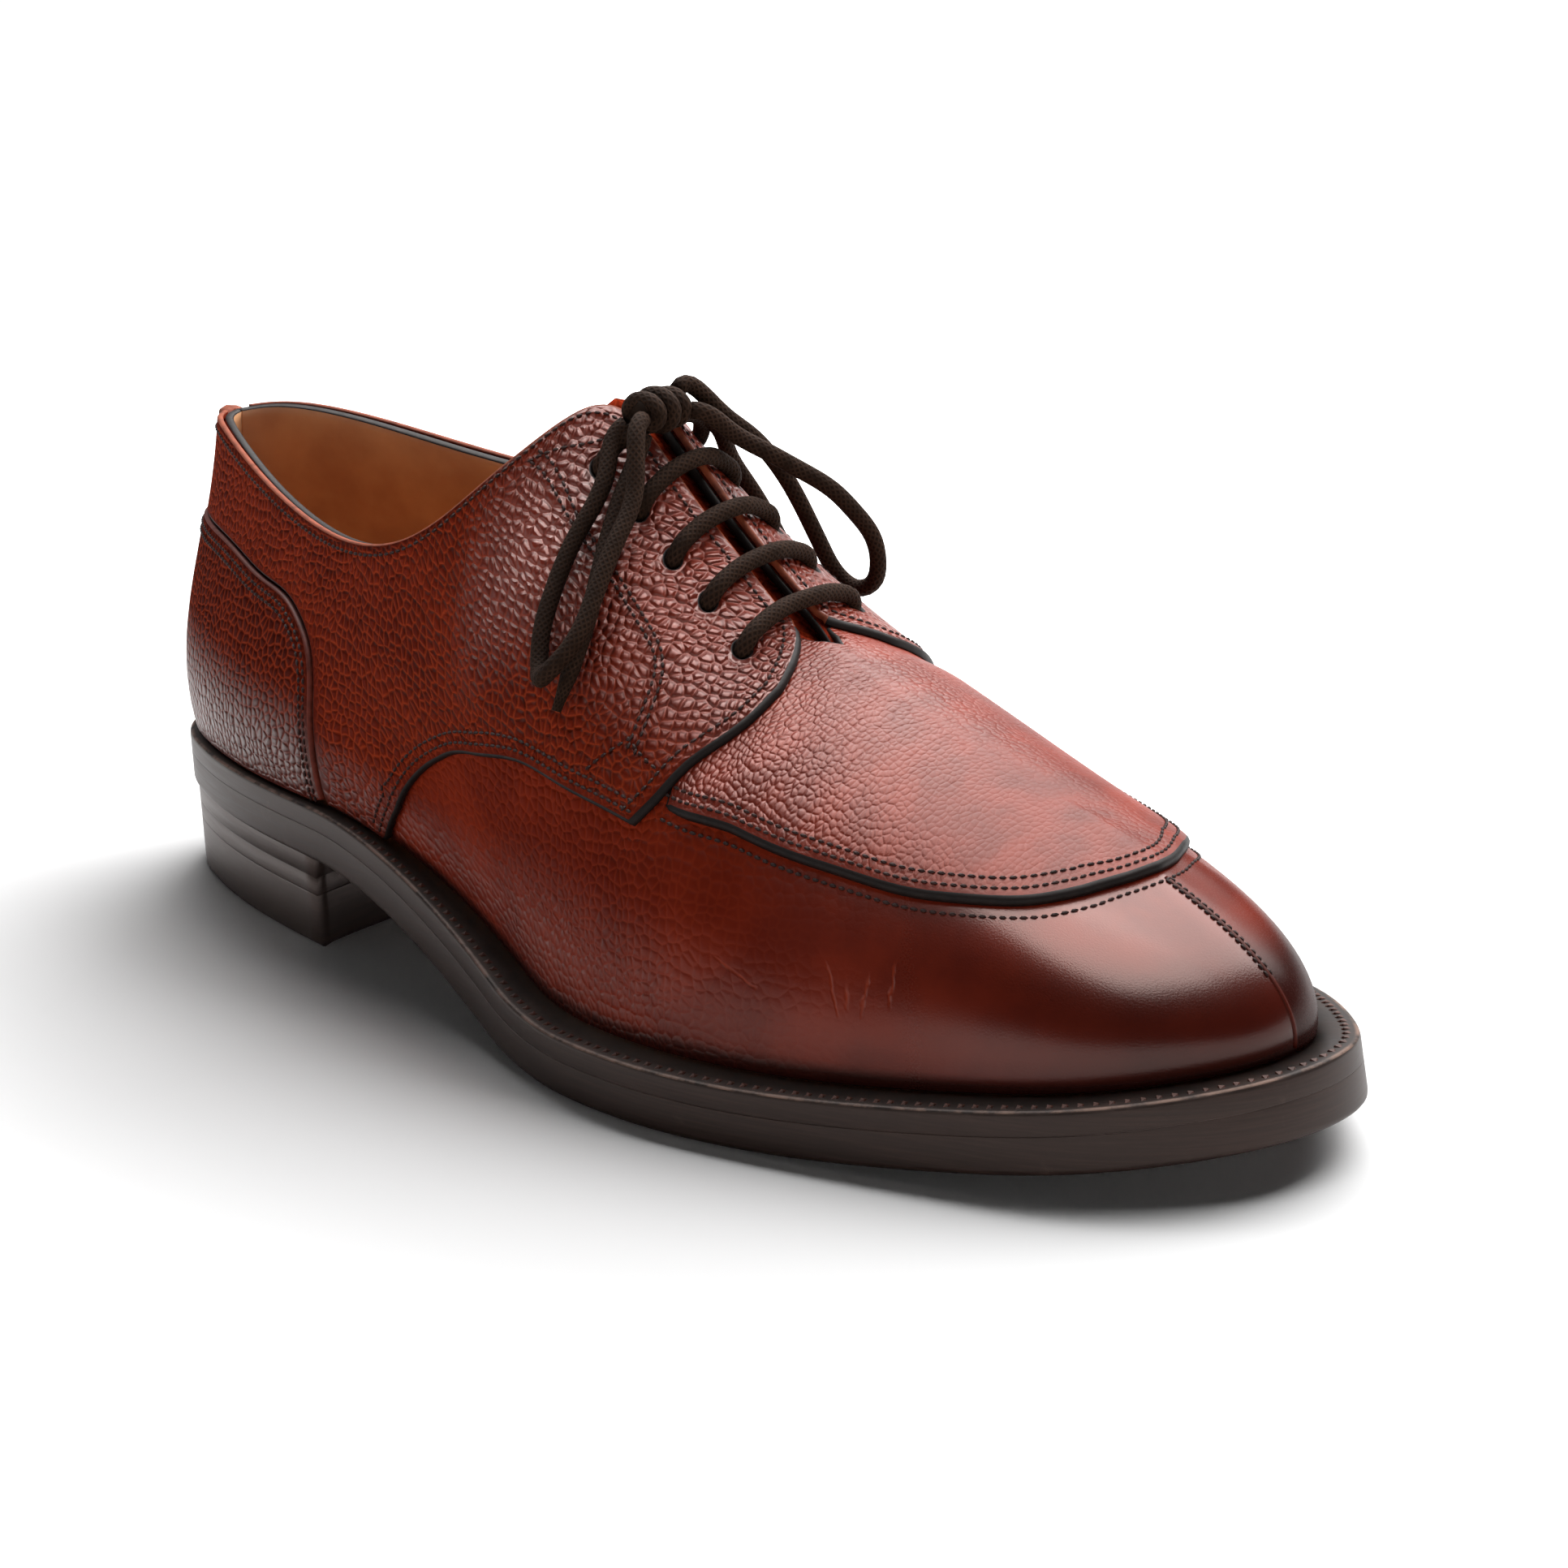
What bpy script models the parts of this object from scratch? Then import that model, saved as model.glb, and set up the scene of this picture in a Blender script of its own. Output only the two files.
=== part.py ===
"""Right derby shoe with a split toe: layered sole and heel, hollow upper with its panels, tongue and lace.

The shoe is worked out in millimetres on one last (heel at low x, toe at high x, lateral side at low y) and
written in metres, with the origin under the middle of its box.
"""
import bpy
import bmesh
import numpy as np
from mathutils import Vector
from mathutils.geometry import delaunay_2d_cdt

MM = 0.001
ORIGIN = np.array((154.415, -4.785, 0.0))   # middle of the finished shoe's box, on the floor

# Sole
HEEL_LIFT = 19.0       # floor to the outsole's underside at the heel
TOP_PIECE = 10.8       # walking layer of the heel
OUTSOLE = 6.7          # thickness of the outsole
SOLE_STACK = 11.4      # outsole and welt together
TOE_SPRING = 9.1       # rise of the outsole's underside at the toe
BREAST_X = 81.0        # front of the heel
BREAST_HOLLOW = 3.0    # depth of the heel breast's curve
HEEL_INSET = 0.8       # heel edge inside the sole's edge
TREAD_START = 178.0    # flat spot of the forefoot
TREAD_END = 214.0
TOE_X = 307.0
LEDGE_HEEL = 4.0       # width of the welt that shows beside the upper
LEDGE_FORE = 7.4
WELT_UNDER = 2.8       # width of the welt under the upper

# Upper, panels and lace
GAP = 0.3              # clearance where two pieces meet
SKIN_GAP = 0.45        # clearance of a panel over the curved upper
WALL = 1.8             # leather and lining of the upper
PANEL = 1.3            # quarters and apron
COUNTER = 1.8
STRIP = 2.2
RIB = 1.0              # raised seam of the toe
TONGUE = 2.2
LACE = 1.7             # radius of the lace
EYELET = 1.9           # radius of an eyelet
HEM = 0.012            # lowest rib parameter of a panel, just clear of the welt
STRIP_HALF = 2.5       # half width of the back strip
PATCH = np.array((15.0, 80.0))   # usual size of a row and of a rib on the shoe

# One row per section, heel to toe: the sole's edge on both sides, the rib's top end on both sides, the four
# handles of the rib (outward and upward at the welt, outward and downward at the top) and the medial fullness.
COLUMNS = ("sole_x", "sole_lat", "sole_med", "top_x", "top_lat", "top_med", "top_z", "rise_med",
           "low_out", "low_up", "high_out", "high_down", "med_full")
SECTIONS = np.array((
    (2.0,    0.0,  0.0,  12.5,   0.0,  0.0,  98.0, 0.0,  5.0, 24.0,  3.0, 26.0, 1.00),
    (4.0,    9.6, 10.2,  16.5,   5.5,  5.5,  98.0, 0.6,  5.0, 24.0,  3.5, 26.0, 1.00),
    (10.4,  18.0, 19.2,  25.0,  10.4, 10.4,  97.0, 1.4,  5.0, 24.0,  4.5, 26.0, 1.00),
    (25.0,  26.2, 28.2,  40.0,  16.2, 16.2,  93.6, 2.4,  4.8, 22.0,  5.5, 24.0, 1.00),
    (50.0,  33.8, 34.0,  61.0,  22.6, 22.4,  88.8, 3.0,  4.4, 20.0,  6.5, 22.0, 1.00),
    (80.0,  38.8, 33.6,  86.0,  28.4, 27.6,  85.4, 3.0,  4.2, 18.0,  5.5, 22.0, 1.00),
    (110.0, 43.2, 31.0, 107.0,  30.0, 28.0,  87.2, 3.0,  4.0, 18.0,  6.5, 26.0, 1.00),
    (130.0, 47.0, 31.2, 121.0,  26.2, 25.0,  95.0, 3.0,  4.0, 20.0, 10.0, 28.0, 1.00),
    (146.0, 51.2, 33.2, 131.0,  19.0, 19.0, 105.0, 2.4,  4.0, 22.0, 16.0, 28.0, 1.02),
    (158.0, 54.8, 35.8, 139.0,   8.0,  8.4, 113.0, 1.2,  4.0, 24.0, 22.0, 22.0, 1.06),
    (168.0, 57.0, 38.2, 148.0,   2.6,  3.0, 110.2, 0.6,  3.8, 25.0, 25.0, 16.0, 1.10),
    (180.0, 58.8, 41.6, 160.5,   2.2,  3.0,  98.2, 0.6,  3.6, 26.0, 27.0, 10.0, 1.11),
    (192.0, 59.4, 44.8, 174.0,   2.2,  3.0,  86.6, 0.6,  3.4, 27.0, 28.0,  6.0, 1.09),
    (203.0, 58.8, 47.2, 186.0,   2.4,  3.4,  77.4, 0.4,  3.2, 28.0, 28.0,  3.0, 1.04),
    (215.0, 56.8, 49.0, 194.0,  -0.5,  0.5,  74.0, 0.0,  3.0, 28.0, 27.0,  0.0, 0.96),
    (238.0, 50.8, 49.6, 212.0,  -1.2,  1.2,  67.0, 0.0,  3.0, 26.0, 26.0,  0.0, 0.85),
    (260.0, 43.4, 45.6, 227.0,  -2.0,  2.0,  60.9, 0.0,  3.0, 22.0, 26.0,  0.0, 0.79),
    (280.0, 34.8, 37.2, 238.0,  -2.6,  2.6,  56.4, 0.0,  3.0, 18.0, 27.0,  0.0, 0.79),
    (296.0, 21.6, 25.0, 244.0,  -3.0,  3.0,  53.9, 0.0,  3.0, 15.0, 29.0,  0.0, 0.84),
    (304.6,  8.6, 14.4, 246.0,  -3.2,  3.2,  53.1, 0.0,  3.0, 14.0, 30.0,  0.0, 0.94),
    (307.0, -3.6,  3.6, 246.6,  -3.3,  3.3,  52.9, 0.0,  3.0, 14.0, 30.0,  0.0, 1.00),
))
ROWS = len(SECTIONS)
LAST_ROW = ROWS - 1.0
THROAT_ROW = 14
LATERAL, MEDIAL = -1, 1
TABLE = {name: SECTIONS[:, i] for i, name in enumerate(COLUMNS)}

# Edges of the panels on the upper, as (section row, rib parameter)
COUNTER_TOP = ((0.0, 0.72), (2.4, 0.725), (3.45, 0.74), (4.03, 0.735), (4.45, 0.73), (4.67, 0.695),
               (4.85, 0.64), (4.98, 0.555), (5.05, 0.385), (5.08, 0.225), (5.10, 0.03))
VAMP_SEAM = ((5.78, 0.03), (5.95, 0.16), (6.35, 0.33), (6.8, 0.415), (7.3, 0.45), (8.45, 0.43),
             (9.98, 0.405), (11.5, 0.415), (12.1, 0.417))
FACING = ((12.15, 0.42), (12.53, 0.485), (12.88, 0.565), (13.33, 0.645), (13.7, 0.72), (13.88, 0.79))
CORNER = ((13.05, 1.0), (13.33, 0.975), (13.6, 0.93), (13.8, 0.87), (13.88, 0.81))
APRON_EDGE = ((12.66, 0.48), (13.78, 0.475), (14.48, 0.465), (15.08, 0.47), (15.68, 0.48), (16.32, 0.515),
              (16.88, 0.56), (17.8, 0.665), (19.0, 0.735), (20.0, 0.74))
EYELETS = ((9.95, 0.875), (10.75, 0.88), (11.43, 0.87), (12.1, 0.865), (12.88, 0.845))

# Top of the tongue above its last rib: (reach, width share, drop)
TONGUE_HEAD = ((4.0, 0.86, 0.6), (8.0, 0.68, 1.6))

# Bow of the lace: the knot, the directions in which strands leave it, and routes as (section row, rib
# parameter, lift) or as plain points
KNOT_CENTRE = np.array((154.2, -3.6, 114.0))
KNOT_RADII = np.array((5.6, 6.2, 4.6))
KNOT_OFF = (0.5, 1.5)
LATERAL_LEAVE = ((-0.45, -0.80, -0.40), (0.40, -0.85, -0.10), (0.10, -0.62, -0.78))
MEDIAL_LEAVE = ((0.60, 0.80, -0.10), (-0.05, 0.86, 0.52), (-0.40, 0.90, -0.22))
LATERAL_LOOP = ((10.2, 0.87, 5.6), (10.16, 0.75, 4.2), (10.03, 0.65, 4.2), (9.98, 0.58, 4.2),
                (10.15, 0.54, 4.8), (10.5, 0.548, 7.8), (10.85, 0.60, 8.4), (10.97, 0.70, 8.4),
                (10.9, 0.80, 9.0), (10.76, 0.87, 9.6))
LATERAL_END = ((10.52, 0.87, 5.0), (10.62, 0.80, 4.1), (10.72, 0.74, 4.0), (10.79, 0.68, 4.0),
               (10.78, 0.62, 4.0), (10.7, 0.56, 4.0), (10.58, 0.51, 4.0))
MEDIAL_LOOP = ((161.0, 9.0, 108.4), (164.8, 13.5, 104.6), (168.3, 19.0, 100.4), (172.0, 24.0, 96.0),
               (174.0, 28.0, 91.0), (175.4, 31.0, 86.0), (175.2, 32.5, 80.6), (173.0, 33.0, 76.0),
               (169.0, 32.4, 74.6), (165.6, 31.0, 77.0), (164.4, 28.6, 82.0), (163.6, 26.0, 88.0),
               (162.6, 23.4, 94.0), (161.2, 20.0, 100.4), (159.2, 15.6, 106.4), (156.6, 10.4, 111.6))
MEDIAL_END = ((10.12, 0.90, 6.2), (10.1, 0.83, 4.6), (10.12, 0.75, 4.2), (10.16, 0.66, 4.2),
              (10.18, 0.56, 4.2))

# Grid of the upper: section rows, closer at heel and toe, and steps up each rib
LOOP_ROWS = np.concatenate((np.arange(0.0, 1.5, 0.25), np.arange(1.5, 18.5, 0.5),
                            np.arange(18.5, 20.01, 0.25)))
LEVELS = np.linspace(0.0, 1.0, 10)


def smooth(u):
    """Ease from 0 to 1."""
    u = np.clip(u, 0.0, 1.0)
    return u*u*(3.0 - 2.0*u)


def cubic(knots, values, at, closed=False):
    """Cubic spline through values (n, d) at knots, natural or closed, read at the given parameters."""
    knots = np.asarray(knots, float)
    values = np.asarray(values, float)
    at = np.atleast_1d(np.asarray(at, float))
    n = len(knots)
    step = np.diff(knots)[:, None]
    slope = np.diff(values, axis=0)/step
    matrix = np.zeros((n, n))
    right = np.zeros_like(values)
    for i in range(1, n - 1):
        matrix[i, i - 1:i + 2] = step[i, 0], 2*(step[i - 1, 0] + step[i, 0]), step[i - 1, 0]
        right[i] = 3*(step[i]*slope[i - 1] + step[i - 1]*slope[i])
    if closed:
        matrix[0, 0] = 2*(step[0, 0] + step[-1, 0])
        matrix[0, 1] = step[-1, 0]
        matrix[0, n - 2] = step[0, 0]
        right[0] = 3*(step[0]*slope[-1] + step[-1]*slope[0])
        matrix[-1, 0] = 1.0
        matrix[-1, -1] = -1.0
    else:
        matrix[0, :2] = 2.0, 1.0
        matrix[-1, -2:] = 1.0, 2.0
        right[0] = 3*slope[0]
        right[-1] = 3*slope[-1]
    rate = np.linalg.solve(matrix, right)
    k = np.clip(np.searchsorted(knots, at, side="right") - 1, 0, n - 2)
    width = step[k]
    u = (at - knots[k])[:, None]/width
    return (values[k]*(1 + 2*u)*(1 - u)**2 + rate[k]*width*u*(1 - u)**2
            + values[k + 1]*u*u*(3 - 2*u) - rate[k + 1]*width*u*u*(1 - u))


def column(name, row):
    """Value of a column of the section table at fractional rows."""
    return cubic(np.arange(ROWS), TABLE[name][:, None], row)[:, 0]


def sole_bottom(x):
    """Height of the outsole's underside: heel seat, arch, tread and toe spring."""
    arch = HEEL_LIFT*(1.0 - smooth((x - BREAST_X)/(TREAD_START - BREAST_X)))
    spring = TOE_SPRING*np.clip((x - TREAD_END)/(TOE_X - TREAD_END), 0.0, None)**1.8
    return arch + spring


def sole_point(edge, height):
    """Point of a layer of the sole, a height above the underside and square to it."""
    x = edge[:, 0]
    reach = 0.5
    lean = np.arctan((sole_bottom(x + reach) - sole_bottom(x - reach))/(2*reach))
    return np.column_stack((x - height*np.sin(lean), edge[:, 1], sole_bottom(x) + height*np.cos(lean)))


LATERAL_EDGE = np.column_stack((TABLE["sole_x"], -TABLE["sole_lat"]))
MEDIAL_EDGE = np.column_stack((TABLE["sole_x"], TABLE["sole_med"]))
LOOP = np.vstack((LATERAL_EDGE, MEDIAL_EDGE[-2:0:-1], LATERAL_EDGE[:1]))
LOOP_AT = np.concatenate(((0.0,), np.cumsum(np.linalg.norm(np.diff(LOOP, axis=0), axis=1))))


def loop_at(row, side):
    """Place along the sole's closed edge of a section row on one side."""
    along = LOOP_AT[:ROWS] if side == LATERAL else LOOP_AT[ROWS - 1:][::-1]
    return np.interp(row, np.arange(ROWS), along)


def sole_edge(at):
    """The sole's outline in plan."""
    return cubic(LOOP_AT, LOOP, at, closed=True)


def edge_normal(at):
    """Outward direction of the sole's outline."""
    reach = 0.05
    step = sole_edge((at + reach) % LOOP_AT[-1]) - sole_edge((at - reach) % LOOP_AT[-1])
    normal = np.column_stack((-step[:, 1], step[:, 0]))
    normal /= np.linalg.norm(normal, axis=1)[:, None]
    middle = np.array((150.0, 0.0))
    return normal*np.sign(np.sum(normal[0]*(sole_edge(at)[0] - middle)))


def ledge(x):
    """Width of the welt that shows beside the upper."""
    return LEDGE_HEEL + (LEDGE_FORE - LEDGE_HEEL)*smooth((x - 60.0)/90.0)


def under_upper(x):
    """Inner edge of the welt, from the sole's edge."""
    return ledge(x) + WELT_UNDER


def beside_welt(x):
    """Edge of the insole inside the welt."""
    return under_upper(x) + GAP


def top_point(row, side):
    """Upper end of a rib: collar and throat edge up to the throat row, then the ridge of the forepart."""
    y = -TABLE["top_lat"] if side == LATERAL else TABLE["top_med"]
    z = TABLE["top_z"] + (TABLE["rise_med"] if side == MEDIAL else 0.0)
    points = np.column_stack((TABLE["top_x"], y, z))
    edge = cubic(np.arange(THROAT_ROW + 1), points[:THROAT_ROW + 1], np.minimum(row, THROAT_ROW))
    ridge = cubic(np.arange(THROAT_ROW, ROWS), points[THROAT_ROW:], np.maximum(row, THROAT_ROW))
    return np.where((row <= THROAT_ROW)[:, None], edge, ridge)


def ridge_slope(row):
    """Fall of the forepart's ridge towards the toe."""
    reach = 0.02
    low = top_point(np.clip(row - reach, THROAT_ROW, LAST_ROW), LATERAL)
    high = top_point(np.clip(row + reach, THROAT_ROW, LAST_ROW), LATERAL)
    return (high[:, 2] - low[:, 2])/(high[:, 0] - low[:, 0])


def upper_point(row, t, side):
    """Outer face of the upper: one curved rib per section row, from the welt (t 0) to its top (t 1)."""
    at = loop_at(row, side)
    normal = edge_normal(at)
    edge = sole_edge(at)
    foot = sole_point(edge - normal*ledge(edge[:, 0])[:, None], SOLE_STACK + GAP)
    top = top_point(row, side)
    out = np.column_stack((normal, np.zeros(len(row))))
    up = np.array((0.0, 0.0, 1.0))
    slope = ridge_slope(np.maximum(row, THROAT_ROW))*smooth((row - (THROAT_ROW - 3))/3.0)
    lean = np.column_stack((normal, slope*normal[:, 0]))
    full = column("med_full", row) if side == MEDIAL else np.ones(len(row))
    drop = np.maximum(column("high_down", row), 0.0)*(row < THROAT_ROW)
    low = foot + out*column("low_out", row)[:, None] + up*(column("low_up", row)*full)[:, None]
    high = top + lean*(column("high_out", row)*full)[:, None] - up*drop[:, None]
    w = np.asarray(t, float)[:, None]
    return foot*(1 - w)**3 + 3*low*w*(1 - w)**2 + 3*high*w*w*(1 - w) + top*w**3


def upper_normal(row, t, side):
    """Outward direction of the upper's outer face, seen from one side of its seams."""
    reach = 0.01
    ahead = upper_point(np.minimum(row + reach, LAST_ROW), t, side)
    behind = upper_point(np.maximum(row - reach, 0.0), t, side)
    across = upper_point(row, t + reach, side) - upper_point(row, t - reach, side)
    normal = np.cross(ahead - behind, across)*-side
    return normal/np.linalg.norm(normal, axis=1)[:, None]


def skin(row, t, side, lift):
    """Points a lift outside the upper's outer face; both sides agree on the seams they share."""
    row = np.atleast_1d(np.asarray(row, float))
    t = np.broadcast_to(np.asarray(t, float), row.shape)
    shared = (row <= 0.0) | (row >= LAST_ROW) | ((t >= 1.0) & (row >= THROAT_ROW))
    probe = np.where(row >= THROAT_ROW, np.minimum(t, 0.97), t)
    own = upper_normal(row, probe, side)
    both = own + upper_normal(row, probe, -side)
    both /= np.linalg.norm(both, axis=1)[:, None]
    normal = np.where(shared[:, None], both, own)
    return upper_point(row, t, side) + normal*lift


def material(name, colour, roughness):
    """Plain shader of one slot."""
    result = bpy.data.materials.new(name)
    result.use_nodes = True
    shader = result.node_tree.nodes["Principled BSDF"]
    shader.inputs["Base Color"].default_value = (*colour, 1.0)
    shader.inputs["Roughness"].default_value = roughness
    return result


def body(name, points, faces, slot):
    """Mesh object from points in millimetres, with its faces turned outward."""
    mesh = bpy.data.meshes.new(name)
    mesh.from_pydata([tuple(p) for p in (np.asarray(points) - ORIGIN)*MM], [], faces)
    work = bmesh.new()
    work.from_mesh(mesh)
    loose = [v for v in work.verts if not v.link_faces]
    bmesh.ops.delete(work, geom=loose, context="VERTS")
    bmesh.ops.recalc_face_normals(work, faces=work.faces)
    work.to_mesh(mesh)
    work.free()
    mesh.materials.append(slot)
    result = bpy.data.objects.new(name, mesh)
    bpy.context.collection.objects.link(result)
    return result


def grid_faces(columns, levels):
    """Quads of a grid of points stored column by column."""
    faces = []
    for i in range(columns - 1):
        for j in range(levels - 1):
            a = i*levels + j
            faces.append((a, a + levels, a + levels + 1, a + 1))
    return faces


def shell(name, outer, inner, faces, slot):
    """Closed body between two point sets that share their faces; every open border gets a rim."""
    first = {}
    weld = [first.setdefault(tuple(np.round(p, 3)), i) for i, p in enumerate(outer)]
    sheet = []
    for face in faces:
        ring = [weld[i] for i in face]
        ring = [v for k, v in enumerate(ring) if v != ring[k - 1]]
        if len(set(ring)) > 2:
            sheet.append(ring)
    edges = {(a, b) for ring in sheet for a, b in zip(ring, ring[1:] + ring[:1])}
    count = len(outer)
    rim = [(b, a, a + count, b + count) for a, b in sorted(edges) if (b, a) not in edges]
    back = [[v + count for v in reversed(ring)] for ring in sheet]
    return body(name, np.concatenate((outer, inner)), sheet + back + rim, slot)


def sole_ring(inset, height):
    """Closed ring of points on one layer of the sole, lateral side first, inside the sole's edge."""
    at = np.concatenate((loop_at(LOOP_ROWS, LATERAL), loop_at(LOOP_ROWS[-2:0:-1], MEDIAL)))
    edge = sole_edge(at)
    inward = inset(edge[:, 0]) if callable(inset) else np.full(len(at), inset)
    return sole_point(edge - edge_normal(at)*inward[:, None], height)


def ring_faces(rings, count, closed):
    """Sides between successive rings, closed back to the first ring for a hoop."""
    faces = []
    for k in range(rings if closed else rings - 1):
        low = k*count
        high = ((k + 1) % rings)*count
        for i in range(count):
            j = (i + 1) % count
            faces.append((low + i, low + j, high + j, high + i))
    return faces


def cap_faces(start, count):
    """Strips across a ring from the lateral to the medial side, heel to toe."""
    faces = []
    for i in range(count//2):
        ring = (start + i, start + i + 1, start + (count - i - 1) % count, start + (count - i) % count)
        faces.append(tuple(dict.fromkeys(ring)))
    return faces


def sole_layer(name, profile, slot):
    """Solid layer of the sole from (inset, height) steps of its side, bottom to top."""
    rings = [sole_ring(inset, height) for inset, height in profile]
    count = len(rings[0])
    faces = ring_faces(len(rings), count, False)
    faces += cap_faces(0, count) + cap_faces((len(rings) - 1)*count, count)
    return body(name, np.concatenate(rings), faces, slot)


def heel_layer(name, low, high, slot):
    """Upright layer of the heel with a hollow breast."""
    front = np.interp(BREAST_X, TABLE["sole_x"], np.arange(ROWS))
    rows = np.append(LOOP_ROWS[LOOP_ROWS < front - 0.1], front)
    at = np.concatenate((loop_at(rows[::-1], LATERAL), loop_at(rows[1:], MEDIAL)))
    edge = sole_edge(at) - edge_normal(at)*HEEL_INSET
    share = np.linspace(0.0, 1.0, 9)[1:-1, None]
    breast = edge[-1]*(1 - share) + edge[0]*share
    breast[:, 0] -= 4*BREAST_HOLLOW*(share*(1 - share))[:, 0]
    plan = np.vstack((edge, breast))
    count = len(plan)
    points = np.vstack([np.column_stack((plan, np.full(count, z))) for z in (low, high)])
    faces = ring_faces(2, count, False) + [tuple(range(count)), tuple(range(count, 2*count))]
    return body(name, points, faces, slot)


def hollow_upper(slot):
    """The upper: one wall round the foot, open at the collar, along the throat and underneath."""
    outer = []
    inner = []
    for side, rows in ((LATERAL, LOOP_ROWS), (MEDIAL, LOOP_ROWS[::-1])):
        for row in rows:
            at = np.full(len(LEVELS), row)
            outer.append(skin(at, LEVELS, side, 0.0))
            inner.append(skin(at, LEVELS, side, -WALL))
    faces = grid_faces(len(outer), len(LEVELS))
    return shell("upper", np.vstack(outer), np.vstack(inner), faces, slot)


def run(table, spacing=4.0):
    """Smooth edge of a panel through (row, rib parameter) points, at an even spacing in millimetres."""
    points = np.array(table)*PATCH
    along = np.concatenate(((0.0,), np.cumsum(np.linalg.norm(np.diff(points, axis=0), axis=1))))
    count = max(int(np.ceil(along[-1]/spacing)), 1) + 1
    return cubic(along, points, np.linspace(0.0, along[-1], count))/PATCH


def inside(points, loop):
    """Even-odd test of points against a closed outline."""
    hit = np.zeros(len(points), bool)
    for a, b in zip(loop, np.roll(loop, -1, axis=0)):
        crosses = (a[1] > points[:, 1]) != (b[1] > points[:, 1])
        rise = b[1] - a[1] if b[1] != a[1] else 1.0
        hit ^= crosses & (points[:, 0] < a[0] + (points[:, 1] - a[1])*(b[0] - a[0])/rise)
    return hit


def near(points, loop):
    """Distance of points from a closed outline."""
    best = np.full(len(points), np.inf)
    for a, b in zip(loop, np.roll(loop, -1, axis=0)):
        span = b - a
        share = np.clip((points - a) @ span/max(span @ span, 1e-9), 0.0, 1.0)
        best = np.minimum(best, np.linalg.norm(points - a - share[:, None]*span, axis=1))
    return best


def flat_sheet(edges, holes=()):
    """Panel laid flat in (row, rib parameter): triangles over its outline, holes and the upper's own grid."""
    outline = np.vstack(edges)
    step = np.linalg.norm((outline - np.roll(outline, 1, axis=0))*PATCH, axis=1)
    loops = [outline[step > 0.2]*PATCH] + [np.asarray(hole)*PATCH for hole in holes]
    grid = np.array([(row, t) for row in LOOP_ROWS for t in LEVELS])*PATCH
    clear = inside(grid, loops[0])
    for loop in loops:
        clear &= near(grid, loop) > 2.2
    for loop in loops[1:]:
        clear &= ~inside(grid, loop)
    points = np.vstack(loops + [grid[clear]])
    links = []
    start = 0
    for loop in loops:
        count = len(loop)
        links += [(start + k, start + (k + 1) % count) for k in range(count)]
        start += count
    flat, _, faces, *_ = delaunay_2d_cdt([Vector(p) for p in points], links, [], 1, 1e-5)
    flat = np.array([tuple(p) for p in flat])
    middle = np.array([flat[list(face)].mean(axis=0) for face in faces])
    good = inside(middle, loops[0])
    for loop in loops[1:]:
        good &= ~inside(middle, loop)
    return flat/PATCH, [tuple(face) for face, ok in zip(faces, good) if ok]


def panel(name, sheets, low, high, slot):
    """Panel over the upper from flat sheets of (side, places, faces), welded where they share a seam."""
    outer = []
    inner = []
    faces = []
    start = 0
    for side, places, triangles in sheets:
        outer.append(skin(places[:, 0], places[:, 1], side, high))
        inner.append(skin(places[:, 0], places[:, 1], side, low))
        order = 1 if side == LATERAL else -1
        faces += [tuple(start + v for v in face[::order]) for face in triangles]
        start += len(places)
    return shell(name, np.vstack(outer), np.vstack(inner), faces, slot)


def straight(rows, t):
    """Edge along a fixed rib parameter."""
    return np.column_stack((rows, np.full(len(rows), t)))


def upright(row, levels):
    """Edge along one rib."""
    return np.column_stack((np.full(len(levels), row), levels))


def eyelet_ring(row, t):
    """Round eyelet laid flat."""
    turn = np.linspace(0.0, 2*np.pi, 12, endpoint=False)
    place = np.array((row, t))[None, :]
    reach = 0.01
    wide = np.linalg.norm(upper_point(place[:, 0] + reach, place[:, 1], LATERAL)
                          - upper_point(place[:, 0], place[:, 1], LATERAL))/reach
    tall = np.linalg.norm(upper_point(place[:, 0], place[:, 1] + reach, LATERAL)
                          - upper_point(place[:, 0], place[:, 1], LATERAL))/reach
    return place + np.column_stack((np.cos(turn)*EYELET/wide, np.sin(turn)*EYELET/tall))


def half_strip(row, t, width):
    """Row offset that puts a point the given width to the side of a seam rib."""
    reach = 0.02
    inner = row + reach if row < 1.0 else row - reach
    t = np.asarray(t, float)
    seam = upper_point(np.full(len(t), row), t, LATERAL)
    beside = upper_point(np.full(len(t), inner), t, LATERAL)
    return width*reach/np.linalg.norm(beside - seam, axis=1)


def quarter(name, side, slot):
    """Side panel from the back seam to the facing, over the vamp and round the counter, with its eyelets."""
    rear = run(COUNTER_TOP) + np.array((0.022, 0.008))
    levels = np.linspace(1.0, rear[0, 1], 5)
    back = np.column_stack((half_strip(0.0, levels, STRIP_HALF + 0.4), levels))
    rear = rear[rear[:, 0] > back[-1, 0] + 0.1]
    rows = LOOP_ROWS[(LOOP_ROWS > back[0, 0] + 0.1) & (LOOP_ROWS < CORNER[0][0])]
    top = straight(rows, 1.0)[::-1]
    hem = straight(np.array((5.14, 5.44, 5.74)), HEM)
    edges = (rear[:-1], hem, run(VAMP_SEAM), run(FACING), run(CORNER[::-1]), top, back)
    return panel(name, [(side, *flat_sheet(edges, [eyelet_ring(row, t) for row, t in EYELETS]))],
                 SKIN_GAP, SKIN_GAP + PANEL, slot)


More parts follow.
